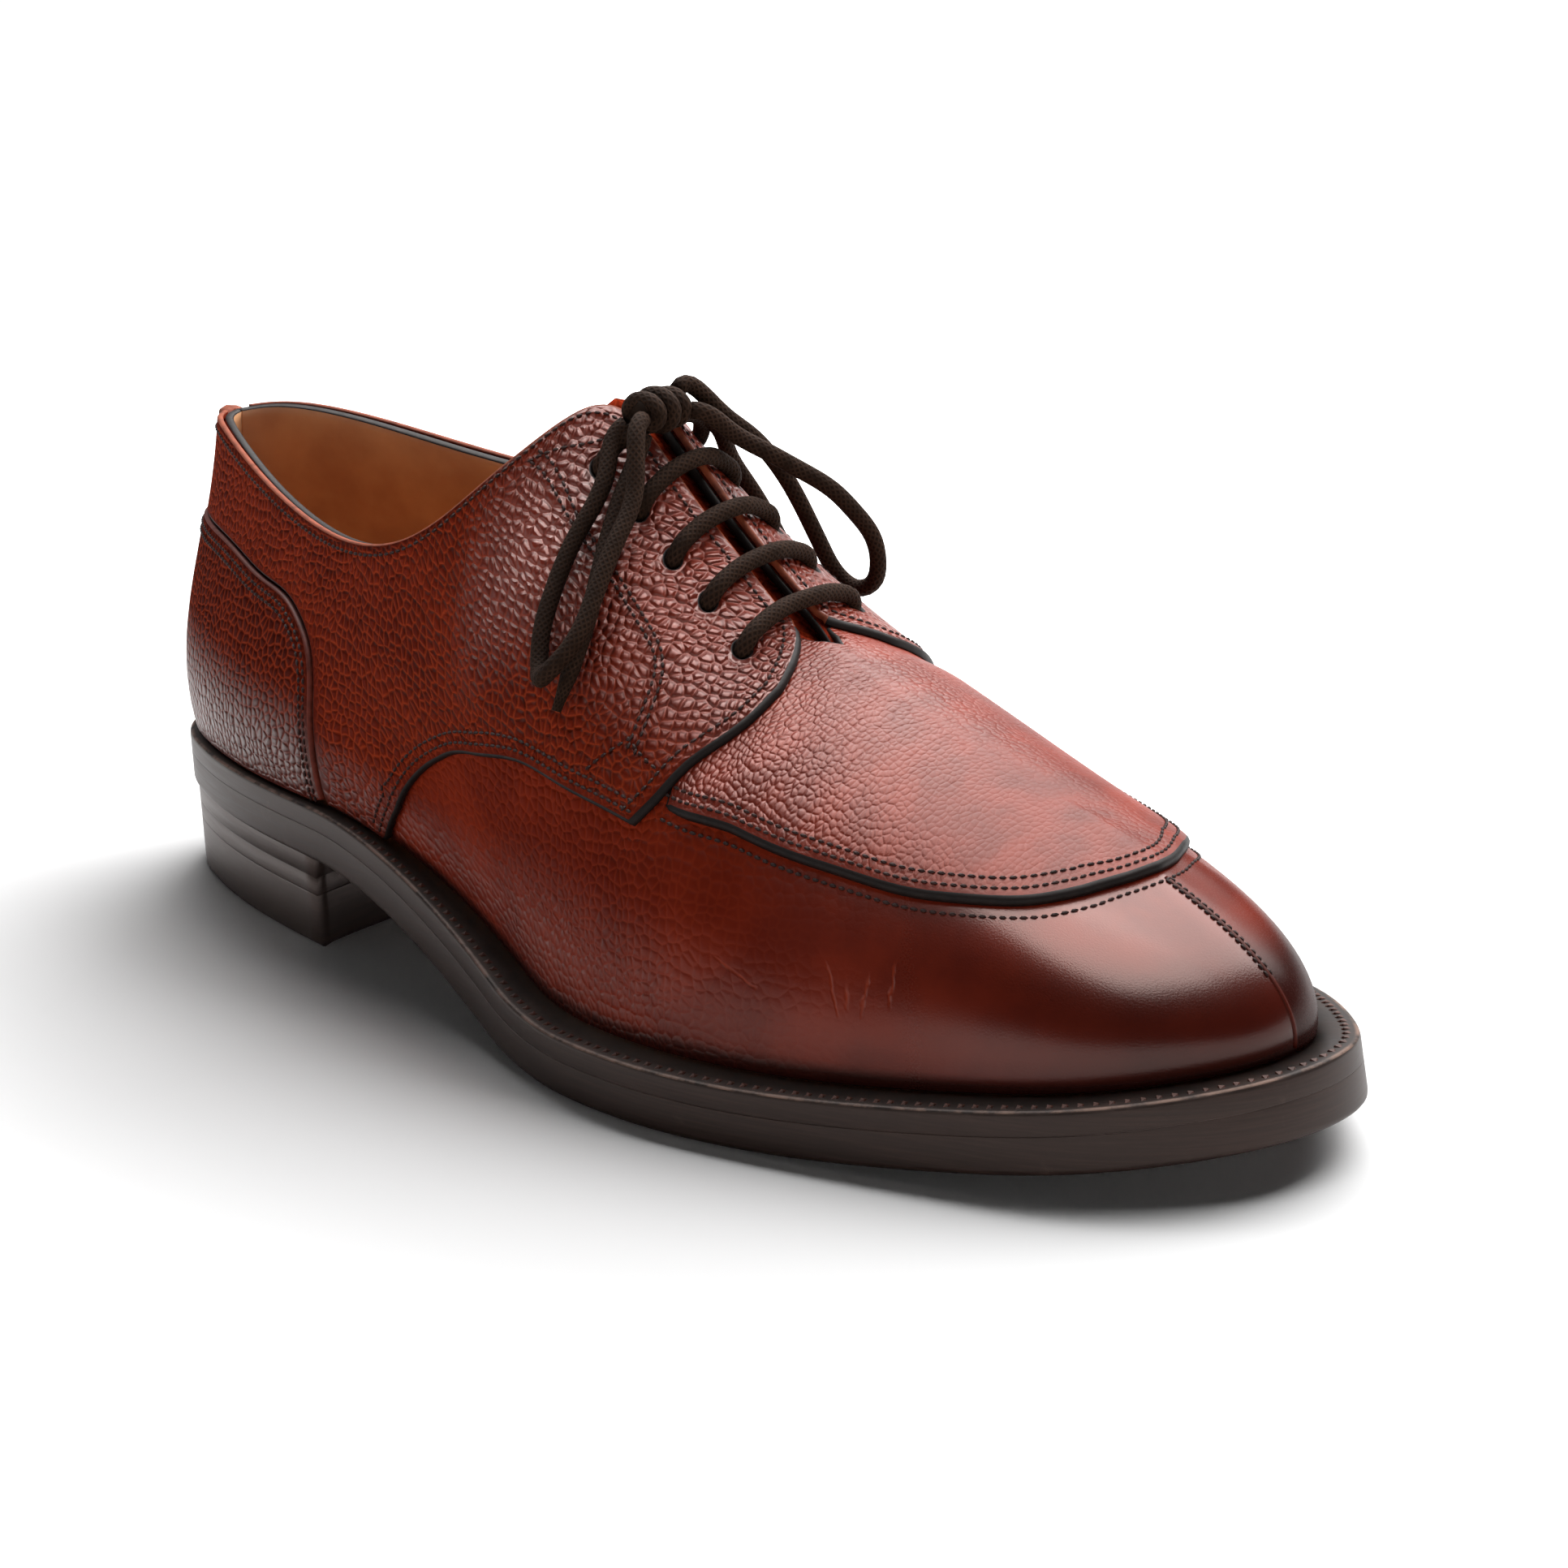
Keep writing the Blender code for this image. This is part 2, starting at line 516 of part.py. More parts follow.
def counter(slot):
    """Heel panel round the back of the upper, with a curved top edge."""
    top = run(COUNTER_TOP)
    back = LEVELS[(LEVELS > HEM + 0.02) & (LEVELS < top[0, 1] - 0.02)]
    hem = straight(LOOP_ROWS[LOOP_ROWS < 5.05], HEM)
    edges = (hem, top[::-1], upright(0.0, back[::-1]))
    return panel("counter", [(side, *flat_sheet(edges)) for side in (LATERAL, MEDIAL)],
                 SKIN_GAP, SKIN_GAP + COUNTER, slot)


def apron(slot):
    """Top panel of the forepart: two wings beside the facings, joined over the ridge and round to the toe."""
    edge = run(APRON_EDGE)
    front = LEVELS[(LEVELS > edge[-1, 1] + 0.02) & (LEVELS < 0.99)]
    ridge = straight(LOOP_ROWS[LOOP_ROWS >= THROAT_ROW], 1.0)[::-1]
    beside = run(FACING)[::-1] + np.array((0.055, -0.014))
    beside = beside[beside[:, 0] > edge[0, 0]]
    throat = upright(THROAT_ROW, np.array((0.95, 0.9, 0.85)))
    edges = (edge, upright(LAST_ROW, front), ridge, throat, beside)
    return panel("apron", [(side, *flat_sheet(edges)) for side in (LATERAL, MEDIAL)],
                 SKIN_GAP, SKIN_GAP + PANEL, slot)


def seam_strip(name, row, t, crown, width, low, high, slot):
    """Raised strip along the upper's back or toe seam, with a crowned middle."""
    shift = half_strip(row, t, width)
    beside = row + shift if row < 1.0 else row - shift
    middle = np.full(len(t), row)
    sides = ((LATERAL, beside, t, high), (LATERAL, middle, crown, high + 0.3), (MEDIAL, beside, t, high))
    outer = np.vstack([skin(rows, levels, side, lift) for side, rows, levels, lift in sides])
    inner = np.vstack([skin(rows, levels, side, low) for side, rows, levels, lift in sides])
    return shell(name, outer, inner, grid_faces(3, len(t)), slot)


def tongue(slot):
    """Curved strip under the lacing, joined under the vamp and standing a little above the facings."""
    rows = np.linspace(9.8, 14.6, 11)
    spread = np.array((0.78, 0.84, 0.90, 0.96))
    middle = len(spread)

    def rib(row, lift):
        at = np.full(len(spread), row)
        left = skin(at, spread, LATERAL, lift)
        right = skin(at, spread[::-1], MEDIAL, lift)
        centre = (skin(row, 1.0, LATERAL, lift) + skin(row, 1.0, MEDIAL, lift))/2
        return np.vstack((left, centre, right))

    layers = []
    for depth in (WALL + SKIN_GAP, WALL + SKIN_GAP + TONGUE):
        ribs = [rib(row, -depth) for row in rows]
        head = ribs[0]
        rise = head[middle] - ribs[1][middle]
        rise /= np.linalg.norm(rise)
        for reach, narrow, sink in TONGUE_HEAD:
            drop = np.array((0.0, 0.0, sink))
            ribs.insert(0, head[middle] + (head - head[middle])*narrow + rise*reach - drop)
        layers.append(np.vstack(ribs))
    faces = grid_faces(len(rows) + len(TONGUE_HEAD), 2*middle + 1)
    return shell("tongue", layers[0], layers[1], faces, slot)


def cord(name, route, slot, spacing):
    """Lace along a smooth curve through route points, as a filled round tube."""
    route = np.asarray(route, float)
    along = np.concatenate(((0.0,), np.cumsum(np.linalg.norm(np.diff(route, axis=0), axis=1))))
    count = int(np.ceil(along[-1]/spacing)) + 1
    path = cubic(along, route, np.linspace(0.0, along[-1], count))
    curve = bpy.data.curves.new(name, "CURVE")
    curve.dimensions = "3D"
    curve.bevel_depth = LACE*MM
    curve.bevel_resolution = 2
    curve.use_fill_caps = True
    spline = curve.splines.new("POLY")
    spline.points.add(count - 1)
    for point, place in zip(spline.points, (path - ORIGIN)*MM):
        point.co = (*place, 1.0)
    curve.materials.append(slot)
    result = bpy.data.objects.new(name, curve)
    bpy.context.collection.objects.link(result)
    return result


def lace_bar(name, eyelet, slot):
    """Straight crossing of the lace between the two eyelets of a pair, over both facings."""
    row, t = eyelet
    climb = np.linspace(t, 1.0, 4)
    lift = SKIN_GAP + PANEL + GAP + LACE
    left = skin(np.full(4, row), climb, LATERAL, lift)
    right = skin(np.full(4, row), climb[::-1], MEDIAL, lift)
    return cord(name, np.vstack((left, right)), slot, 2.2*LACE)


def knot(slot):
    """Rounded knot of the bow."""
    turns, rings = 14, 8
    angle = np.linspace(0.0, 2*np.pi, turns, endpoint=False)
    fall = np.linspace(0.0, np.pi, rings + 1)[1:-1]
    ball = np.array([(np.cos(a)*np.sin(f), np.sin(a)*np.sin(f), np.cos(f)) for f in fall for a in angle])
    ball = np.vstack((ball, (0.0, 0.0, 1.0), (0.0, 0.0, -1.0)))
    points = KNOT_CENTRE + ball*KNOT_RADII
    faces = ring_faces(rings - 1, turns, False)
    top, bottom = len(points) - 2, len(points) - 1
    end = (rings - 2)*turns
    for i in range(turns):
        j = (i + 1) % turns
        faces.append((i, j, top))
        faces.append((end + i, end + j, bottom))
    return body("lace_knot", points, faces, slot)


def on_side(side, table):
    """Route points from (row, rib parameter, lift) places on one side of the upper."""
    return np.vstack([skin(row, t, side, lift) for row, t, lift in table])


def at_knot(direction):
    """First two places of a strand that leaves the knot square to its face."""
    turn = np.array(direction)/np.linalg.norm(direction)
    out = turn/KNOT_RADII
    out /= np.linalg.norm(out)
    return np.array([KNOT_CENTRE + KNOT_RADII*turn + out*reach for reach in KNOT_OFF])


for old in list(bpy.data.objects):
    bpy.data.objects.remove(old, do_unlink=True)

LEATHER = material("leather", (0.20, 0.055, 0.032), 0.45)
LINING = material("lining", (0.55, 0.36, 0.20), 0.7)
WELT = material("welt", (0.07, 0.035, 0.022), 0.5)
SOLE = material("sole", (0.045, 0.024, 0.017), 0.45)
HEEL = material("heel", (0.03, 0.018, 0.014), 0.5)
EDGE = material("edge", (0.02, 0.014, 0.012), 0.5)
CORD = material("lace", (0.055, 0.04, 0.03), 0.8)

WELT_BASE = OUTSOLE + GAP
sole_layer("outsole", ((0.9, 0.0), (0.0, 1.0), (0.0, 5.9), (0.5, OUTSOLE)), SOLE)
WELT_STEPS = ((0.5, WELT_BASE), (0.0, WELT_BASE + 0.6), (0.0, SOLE_STACK - 0.6), (0.7, SOLE_STACK),
              (under_upper, SOLE_STACK), (under_upper, WELT_BASE))
welt_rings = [sole_ring(inset, height) for inset, height in WELT_STEPS]
body("welt", np.concatenate(welt_rings), ring_faces(len(welt_rings), len(welt_rings[0]), True), WELT)
sole_layer("insole", ((beside_welt, WELT_BASE), (beside_welt, SOLE_STACK + 0.1)), LINING)
heel_layer("heel_top_piece", 0.0, TOP_PIECE, HEEL)
heel_layer("heel_stack", TOP_PIECE + GAP, HEEL_LIFT - GAP, SOLE)

hollow_upper(LEATHER)
tongue(LEATHER)
for side_name, side_sign in (("lateral", LATERAL), ("medial", MEDIAL)):
    quarter("quarter_" + side_name, side_sign, LEATHER)
counter(LEATHER)
apron(LEATHER)
BACK_LEVELS = np.linspace(0.745, 1.0, 6)
seam_strip("back_strip", 0.0, BACK_LEVELS, np.linspace(0.745, 1.04, 6), STRIP_HALF,
           SKIN_GAP, SKIN_GAP + STRIP, EDGE)
TOE_LEVELS = np.linspace(0.03, 0.715, 9)
seam_strip("toe_seam", LAST_ROW, TOE_LEVELS, TOE_LEVELS, 1.3, SKIN_GAP, SKIN_GAP + RIB, LEATHER)

for number, place in enumerate(EYELETS[1:], 1):
    lace_bar("lace_bar_" + str(number), place, CORD)
knot(CORD)
start, end, tail = (at_knot(direction) for direction in LATERAL_LEAVE)
cord("lace_loop_lateral", np.vstack((start, on_side(LATERAL, LATERAL_LOOP), end[::-1])), CORD, 2.4*LACE)
cord("lace_end_lateral", np.vstack((tail, on_side(LATERAL, LATERAL_END))), CORD, 2.4*LACE)
start, end, tail = (at_knot(direction) for direction in MEDIAL_LEAVE)
cord("lace_loop_medial", np.vstack((start, MEDIAL_LOOP, end[::-1])), CORD, 2.4*LACE)
cord("lace_end_medial", np.vstack((tail, on_side(MEDIAL, MEDIAL_END))), CORD, 2.4*LACE)
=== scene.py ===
# %% [markdown]
# # A split-toe derby shoe
# The packed CAD part gives every piece its size and place. This lesson dresses it: each solid gets a
# finer twin made from the same last, with leather, stitches and a lace that runs through the eyelets.

# %% Load the part
import math
import bpy
import numpy as np
from mathutils import Matrix, Vector
from mathutils.geometry import delaunay_2d_cdt


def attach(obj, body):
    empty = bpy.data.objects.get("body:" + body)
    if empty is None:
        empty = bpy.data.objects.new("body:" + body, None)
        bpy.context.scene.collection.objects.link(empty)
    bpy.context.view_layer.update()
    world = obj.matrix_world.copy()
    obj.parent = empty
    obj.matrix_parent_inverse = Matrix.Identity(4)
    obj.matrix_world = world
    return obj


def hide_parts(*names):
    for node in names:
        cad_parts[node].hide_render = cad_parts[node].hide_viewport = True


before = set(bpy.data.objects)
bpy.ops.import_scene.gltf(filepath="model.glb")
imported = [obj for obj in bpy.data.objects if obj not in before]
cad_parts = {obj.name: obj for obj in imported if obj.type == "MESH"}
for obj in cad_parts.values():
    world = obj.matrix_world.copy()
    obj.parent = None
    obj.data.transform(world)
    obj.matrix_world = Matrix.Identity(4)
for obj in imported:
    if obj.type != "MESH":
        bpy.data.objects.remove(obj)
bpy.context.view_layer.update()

MM = 0.001
ORIGIN = np.array((154.415, -4.785, 0.0))

# %% [markdown]
# ## Camera
# The photograph was taken from the front and the outside, a little above the toe, with a longish lens.
# A camera is a place, three directions and a focal length; the numbers below put the sole's outline,
# the heel and the seams where the picture shows them.

# %% Camera
IMAGE_SIDE = 1932.0
FOCAL_PIXELS = 4207.9
SENSOR = 36.0
CAMERA_PLACE = np.array((625.689, -422.262, 236.314))
AZIMUTH, ELEVATION, ROLL = 0.764375, 0.294843, -0.030813
SHOE_MIDDLE = (776.0, 1005.0)


def show(thing):
    """Put an object into the scene."""
    bpy.context.scene.collection.objects.link(thing)
    return thing


def photo_camera():
    """Camera at the photograph's angle to the shoe, turned to its middle."""
    back = np.array((math.sin(AZIMUTH)*math.cos(ELEVATION), -math.cos(AZIMUTH)*math.cos(ELEVATION),
                     math.sin(ELEVATION)))
    flat = np.array((math.cos(AZIMUTH), math.sin(AZIMUTH), 0.0))
    up = np.cross(back, flat)
    right = math.cos(ROLL)*flat + math.sin(ROLL)*up
    above = math.cos(ROLL)*up - math.sin(ROLL)*flat
    aside, down = (middle - IMAGE_SIDE/2 for middle in SHOE_MIDDLE)
    back = back*FOCAL_PIXELS - right*aside + above*down
    back /= np.linalg.norm(back)
    right = np.cross(above, back)
    right /= np.linalg.norm(right)
    above = np.cross(back, right)
    data = bpy.data.cameras.new("camera")
    data.sensor_width = SENSOR
    data.lens = FOCAL_PIXELS/IMAGE_SIDE*SENSOR
    data.clip_start = 0.01
    data.clip_end = 50.0
    camera = show(bpy.data.objects.new("camera", data))
    axes = np.column_stack((right, above, back, (CAMERA_PLACE - ORIGIN)*MM))
    camera.matrix_world = Matrix(np.vstack((axes, (0, 0, 0, 1))).tolist())
    bpy.context.scene.camera = camera
    return camera


print("lens:", round(photo_camera().data.lens, 2), "mm")

# %% [markdown]
# ## The last
# A shoemaker builds a shoe over a last, a wooden foot. Ours is a short table with one row per section
# from heel to toe, in millimetres. The first columns say where the sole's edge lies. The top columns
# say where the rib of leather over that section ends; it ends higher on the medial side by rise_med.
# The low and high columns are the reach of the two handles that make the rib bulge, and med_full makes
# the medial rib fuller or flatter.

# %% Sections of the last
COLUMNS = ("sole_x", "sole_lat", "sole_med", "top_x", "top_lat", "top_med", "top_z", "rise_med",
           "low_out", "low_up", "high_out", "high_down", "med_full")
SECTIONS = np.array((
    (2.0,    0.0,  0.0,  12.5,   0.0,  0.0,  98.0, 0.0,  5.0, 24.0,  3.0, 26.0, 1.00),
    (4.0,    9.6, 10.2,  16.5,   5.5,  5.5,  98.0, 0.6,  5.0, 24.0,  3.5, 26.0, 1.00),
    (10.4,  18.0, 19.2,  25.0,  10.4, 10.4,  97.0, 1.4,  5.0, 24.0,  4.5, 26.0, 1.00),
    (25.0,  26.2, 28.2,  40.0,  16.2, 16.2,  93.6, 2.4,  4.8, 22.0,  5.5, 24.0, 1.00),
    (50.0,  33.8, 34.0,  61.0,  22.6, 22.4,  88.8, 3.0,  4.4, 20.0,  6.5, 22.0, 1.00),
    (80.0,  38.8, 33.6,  86.0,  28.4, 27.6,  85.4, 3.0,  4.2, 18.0,  5.5, 22.0, 1.00),
    (110.0, 43.2, 31.0, 107.0,  30.0, 28.0,  87.2, 3.0,  4.0, 18.0,  6.5, 26.0, 1.00),
    (130.0, 47.0, 31.2, 121.0,  26.2, 25.0,  95.0, 3.0,  4.0, 20.0, 10.0, 28.0, 1.00),
    (146.0, 51.2, 33.2, 131.0,  19.0, 19.0, 105.0, 2.4,  4.0, 22.0, 16.0, 28.0, 1.02),
    (158.0, 54.8, 35.8, 139.0,   8.0,  8.4, 113.0, 1.2,  4.0, 24.0, 22.0, 22.0, 1.06),
    (168.0, 57.0, 38.2, 148.0,   2.6,  3.0, 110.2, 0.6,  3.8, 25.0, 25.0, 16.0, 1.10),
    (180.0, 58.8, 41.6, 160.5,   2.2,  3.0,  98.2, 0.6,  3.6, 26.0, 27.0, 10.0, 1.11),
    (192.0, 59.4, 44.8, 174.0,   2.2,  3.0,  86.6, 0.6,  3.4, 27.0, 28.0,  6.0, 1.09),
    (203.0, 58.8, 47.2, 186.0,   2.4,  3.4,  77.4, 0.4,  3.2, 28.0, 28.0,  3.0, 1.04),
    (215.0, 56.8, 49.0, 194.0,  -0.5,  0.5,  74.0, 0.0,  3.0, 28.0, 27.0,  0.0, 0.96),
    (238.0, 50.8, 49.6, 212.0,  -1.2,  1.2,  67.0, 0.0,  3.0, 26.0, 26.0,  0.0, 0.85),
    (260.0, 43.4, 45.6, 227.0,  -2.0,  2.0,  60.9, 0.0,  3.0, 22.0, 26.0,  0.0, 0.80),
    (280.0, 34.8, 37.2, 238.0,  -2.6,  2.6,  56.4, 0.0,  3.0, 18.0, 27.0,  0.0, 0.85),
    (296.0, 21.6, 25.0, 244.0,  -3.0,  3.0,  53.9, 0.0,  3.0, 15.0, 29.0,  0.0, 0.95),
    (304.6,  8.6, 14.4, 246.0,  -3.2,  3.2,  53.1, 0.0,  3.0, 14.0, 30.0,  0.0, 0.99),
    (307.0, -3.6,  3.6, 246.6,  -3.3,  3.3,  52.9, 0.0,  3.0, 14.0, 30.0,  0.0, 1.00),
))
ROWS = len(SECTIONS)
LAST_ROW = ROWS - 1.0
THROAT_ROW = 14
LATERAL, MEDIAL = -1, 1
BOTH = (LATERAL, MEDIAL)
TABLE = {name: SECTIONS[:, i] for i, name in enumerate(COLUMNS)}
print("sections:", ROWS)

# %% [markdown]
# ## Splines
# A boatbuilder bends a thin strip round a few pins to get a fair curve. A cubic spline is the same
# curve in numbers: it goes through every row of the table and turns as gently as it can in between.
# Straight pieces would show corners. Every seam, edge and cord below runs on this one function.

# %% Splines
def smooth(u):
    """Ease from 0 to 1."""
    u = np.clip(u, 0.0, 1.0)
    return u*u*(3.0 - 2.0*u)


def cubic(knots, values, at, closed=False):
    """Cubic spline through values (n, d) at knots, natural or closed, read at the given parameters."""
    knots = np.asarray(knots, float)
    values = np.asarray(values, float)
    at = np.atleast_1d(np.asarray(at, float))
    n = len(knots)
    step = np.diff(knots)[:, None]
    slope = np.diff(values, axis=0)/step
    matrix = np.zeros((n, n))
    right = np.zeros_like(values)
    for i in range(1, n - 1):
        matrix[i, i - 1:i + 2] = step[i, 0], 2*(step[i - 1, 0] + step[i, 0]), step[i - 1, 0]
        right[i] = 3*(step[i]*slope[i - 1] + step[i - 1]*slope[i])
    if closed:
        matrix[0, 0] = 2*(step[0, 0] + step[-1, 0])
        matrix[0, 1] = step[-1, 0]
        matrix[0, n - 2] = step[0, 0]
        right[0] = 3*(step[0]*slope[-1] + step[-1]*slope[0])
        matrix[-1, 0] = 1.0
        matrix[-1, -1] = -1.0
    else:
        matrix[0, :2] = 2.0, 1.0
        matrix[-1, -2:] = 1.0, 2.0
        right[0] = 3*slope[0]
        right[-1] = 3*slope[-1]
    rate = np.linalg.solve(matrix, right)
    k = np.clip(np.searchsorted(knots, at, side="right") - 1, 0, n - 2)
    width = step[k]
    u = (at - knots[k])[:, None]/width
    return (values[k]*(1 + 2*u)*(1 - u)**2 + rate[k]*width*u*(1 - u)**2
            + values[k + 1]*u*u*(3 - 2*u) - rate[k + 1]*width*u*u*(1 - u))


def chords(points):
    """Running length along a line of points."""
    return np.concatenate(((0.0,), np.cumsum(np.linalg.norm(np.diff(points, axis=0), axis=1))))


def along(points, spacing):
    """Even points on a smooth curve through the given ones."""
    points = np.asarray(points, float)
    length = chords(points)
    count = max(int(np.ceil(length[-1]/spacing)), 1) + 1
    return cubic(length, points, np.linspace(0.0, length[-1], count))


def column(name, row):
    """Value of a column of the section table at fractional rows."""
    return cubic(np.arange(ROWS), TABLE[name][:, None], row)[:, 0]


print("collar half way between two rows:", round(column("top_z", 3.5)[0], 1), "mm high")

# %% [markdown]
# ## The sole's edge
# A sole is cut to the outline of the last plus a ledge for the welt. Its underside lifts at the heel,
# arches over the waist, lies flat at the tread and springs at the toe. A layer of the sole is that
# outline at a height above the underside, so two small functions place every layer, and the upper
# stands on the same edge.

# %% The sole's edge and layers
HEEL_LIFT, TOP_PIECE, OUTSOLE, SOLE_STACK = 19.0, 10.8, 6.7, 11.4
TOE_SPRING, SPRING_CURVE = 9.1, 1.8
BREAST_X, BREAST_HOLLOW, HEEL_INSET = 81.0, 3.0, 0.8
TREAD_START, TREAD_END, TOE_X = 178.0, 214.0, 307.0
LEDGE_HEEL, LEDGE_FORE, WELT_UNDER = 4.0, 7.4, 2.8
LEDGE_START, LEDGE_RUN = 60.0, 90.0
GAP, WALL = 0.3, 1.8
LATERAL_EDGE = np.column_stack((TABLE["sole_x"], -TABLE["sole_lat"]))
MEDIAL_EDGE = np.column_stack((TABLE["sole_x"], TABLE["sole_med"]))
LOOP = np.vstack((LATERAL_EDGE, MEDIAL_EDGE[-2:0:-1], LATERAL_EDGE[:1]))
LOOP_AT = chords(LOOP)


def sole_bottom(x):
    """Height of the outsole's underside: heel seat, arch, tread and toe spring."""
    arch = HEEL_LIFT*(1.0 - smooth((x - BREAST_X)/(TREAD_START - BREAST_X)))
    spring = TOE_SPRING*np.clip((x - TREAD_END)/(TOE_X - TREAD_END), 0.0, None)**SPRING_CURVE
    return arch + spring


def sole_point(edge, height):
    """Point of a layer of the sole, a height above the underside and square to it."""
    x = edge[:, 0]
    reach = 0.5
    lean = np.arctan((sole_bottom(x + reach) - sole_bottom(x - reach))/(2*reach))
    return np.column_stack((x - height*np.sin(lean), edge[:, 1], sole_bottom(x) + height*np.cos(lean)))


def loop_at(row, side):
    """Place along the sole's closed edge of a section row on one side."""
    run = LOOP_AT[:ROWS] if side == LATERAL else LOOP_AT[ROWS - 1:][::-1]
    return np.interp(row, np.arange(ROWS), run)


def sole_edge(at):
    """The sole's outline in plan."""
    return cubic(LOOP_AT, LOOP, at, closed=True)


def edge_normal(at):
    """Outward direction of the sole's outline."""
    reach = 0.05
    step = sole_edge((at + reach) % LOOP_AT[-1]) - sole_edge((at - reach) % LOOP_AT[-1])
    normal = np.column_stack((-step[:, 1], step[:, 0]))
    normal /= np.linalg.norm(normal, axis=1)[:, None]
    middle = np.array((150.0, 0.0))
    return normal*np.sign(np.sum(normal[0]*(sole_edge(at)[0] - middle)))


def ledge(x):
    """Width of the welt that shows beside the upper."""
    return LEDGE_HEEL + (LEDGE_FORE - LEDGE_HEEL)*smooth((x - LEDGE_START)/LEDGE_RUN)


print("sole edge:", round(LOOP_AT[-1]), "mm round")

# %% [markdown]
# ## The upper's face
# Leather pulled over a last makes one smooth face. Each section has a rib, a curve with four handles
# that rises from the welt, bulges and ends at the collar, at the throat or on the ridge of the
# forepart. A point of the face is a section row and a place up its rib, from 0 to 1. A sculpted mesh
# could look as good, but the panels couldn't be cut from it by two numbers.

# %% The upper's face
def top_point(row, side):
    """Upper end of a rib: collar and throat edge up to the throat row, then the ridge of the forepart."""
    y = -TABLE["top_lat"] if side == LATERAL else TABLE["top_med"]
    z = TABLE["top_z"] + (TABLE["rise_med"] if side == MEDIAL else 0.0)
    points = np.column_stack((TABLE["top_x"], y, z))
    edge = cubic(np.arange(THROAT_ROW + 1), points[:THROAT_ROW + 1], np.minimum(row, THROAT_ROW))
    ridge = cubic(np.arange(THROAT_ROW, ROWS), points[THROAT_ROW:], np.maximum(row, THROAT_ROW))
    return np.where((row <= THROAT_ROW)[:, None], edge, ridge)


def ridge_slope(row):
    """Fall of the forepart's ridge towards the toe."""
    reach = 0.02
    low = top_point(np.clip(row - reach, THROAT_ROW, LAST_ROW), LATERAL)
    high = top_point(np.clip(row + reach, THROAT_ROW, LAST_ROW), LATERAL)
    return (high[:, 2] - low[:, 2])/(high[:, 0] - low[:, 0])


def upper_point(row, t, side):
    """Outer face of the upper: one curved rib per section row, from the welt (t 0) to its top (t 1)."""
    at = loop_at(row, side)
    normal = edge_normal(at)
    edge = sole_edge(at)
    foot = sole_point(edge - normal*ledge(edge[:, 0])[:, None], SOLE_STACK + GAP)
    top = top_point(row, side)
    out = np.column_stack((normal, np.zeros(len(row))))
    up = np.array((0.0, 0.0, 1.0))
    slope = ridge_slope(np.maximum(row, THROAT_ROW))*smooth((row - (THROAT_ROW - 3))/3.0)
    lean = np.column_stack((normal, slope*normal[:, 0]))
    full = column("med_full", row) if side == MEDIAL else np.ones(len(row))
    drop = np.maximum(column("high_down", row), 0.0)*(row < THROAT_ROW)
    low = foot + out*column("low_out", row)[:, None] + up*(column("low_up", row)*full)[:, None]
    high = top + lean*(column("high_out", row)*full)[:, None] - up*drop[:, None]
    w = np.asarray(t, float)[:, None]
    return foot*(1 - w)**3 + 3*low*w*(1 - w)**2 + 3*high*w*w*(1 - w) + top*w**3


def upper_normal(row, t, side):
    """Outward direction of the upper's outer face, seen from one side of its seams."""
    reach = 0.01
    ahead = upper_point(np.minimum(row + reach, LAST_ROW), t, side)
    behind = upper_point(np.maximum(row - reach, 0.0), t, side)
    across = upper_point(row, t + reach, side) - upper_point(row, t - reach, side)
    normal = np.cross(ahead - behind, across)*-side
    return normal/np.linalg.norm(normal, axis=1)[:, None]


def face_normal(row, t, side):
    """Outward direction on which both sides agree along the seams they share."""
    shared = (row <= 0.0) | (row >= LAST_ROW) | ((t >= 1.0) & (row >= THROAT_ROW))
    probe = np.where(row >= THROAT_ROW, np.minimum(t, 0.97), t)
    own = upper_normal(row, probe, side)
    both = own + upper_normal(row, probe, -side)
    both /= np.maximum(np.linalg.norm(both, axis=1), 1e-6)[:, None]
    return np.where(shared[:, None], both, own)


def skin(row, t, side, lift):
    """Points a lift outside the upper's outer face."""
    row = np.atleast_1d(np.asarray(row, float))
    t = np.broadcast_to(np.asarray(t, float), row.shape)
    lift = np.broadcast_to(np.asarray(lift, float), row.shape)
    return upper_point(row, t, side) + face_normal(row, t, side)*lift[:, None]


print("throat at", np.round(top_point(np.array((float(THROAT_ROW),)), LATERAL)[0], 1))

# %% [markdown]
# ## The leather laid flat
# Grain is pressed into the hide before it is lasted, so the pebbles keep their size where the shoe
# narrows. The lengths along the ribs lay every point back on the flat hide, and that place becomes its
# UV. The top of the forepart is laid out from its centre line instead, so that its two halves meet
# without a break.

# %% Flat lengths for the grain
ROW_STEPS, RIB_STEPS = 200, 40
FLAT_ROWS = np.linspace(0.0, LAST_ROW, ROW_STEPS + 1)
FLAT_STEPS = np.linspace(0.0, 1.0, RIB_STEPS + 1)
CROWN_SCALE = (2.0, 1.4)


def flat_tables():
    """Length along the mid height to each row, and up each rib to each step, on both sides."""
    tables = {}
    for side in BOTH:
        mid = chords(upper_point(FLAT_ROWS, np.full(len(FLAT_ROWS), 0.5), side))
        ribs = [chords(upper_point(np.full(len(FLAT_STEPS), row), FLAT_STEPS, side)) for row in FLAT_ROWS]
        tables[side] = (mid, np.array(ribs))
    return tables


FLAT = flat_tables()


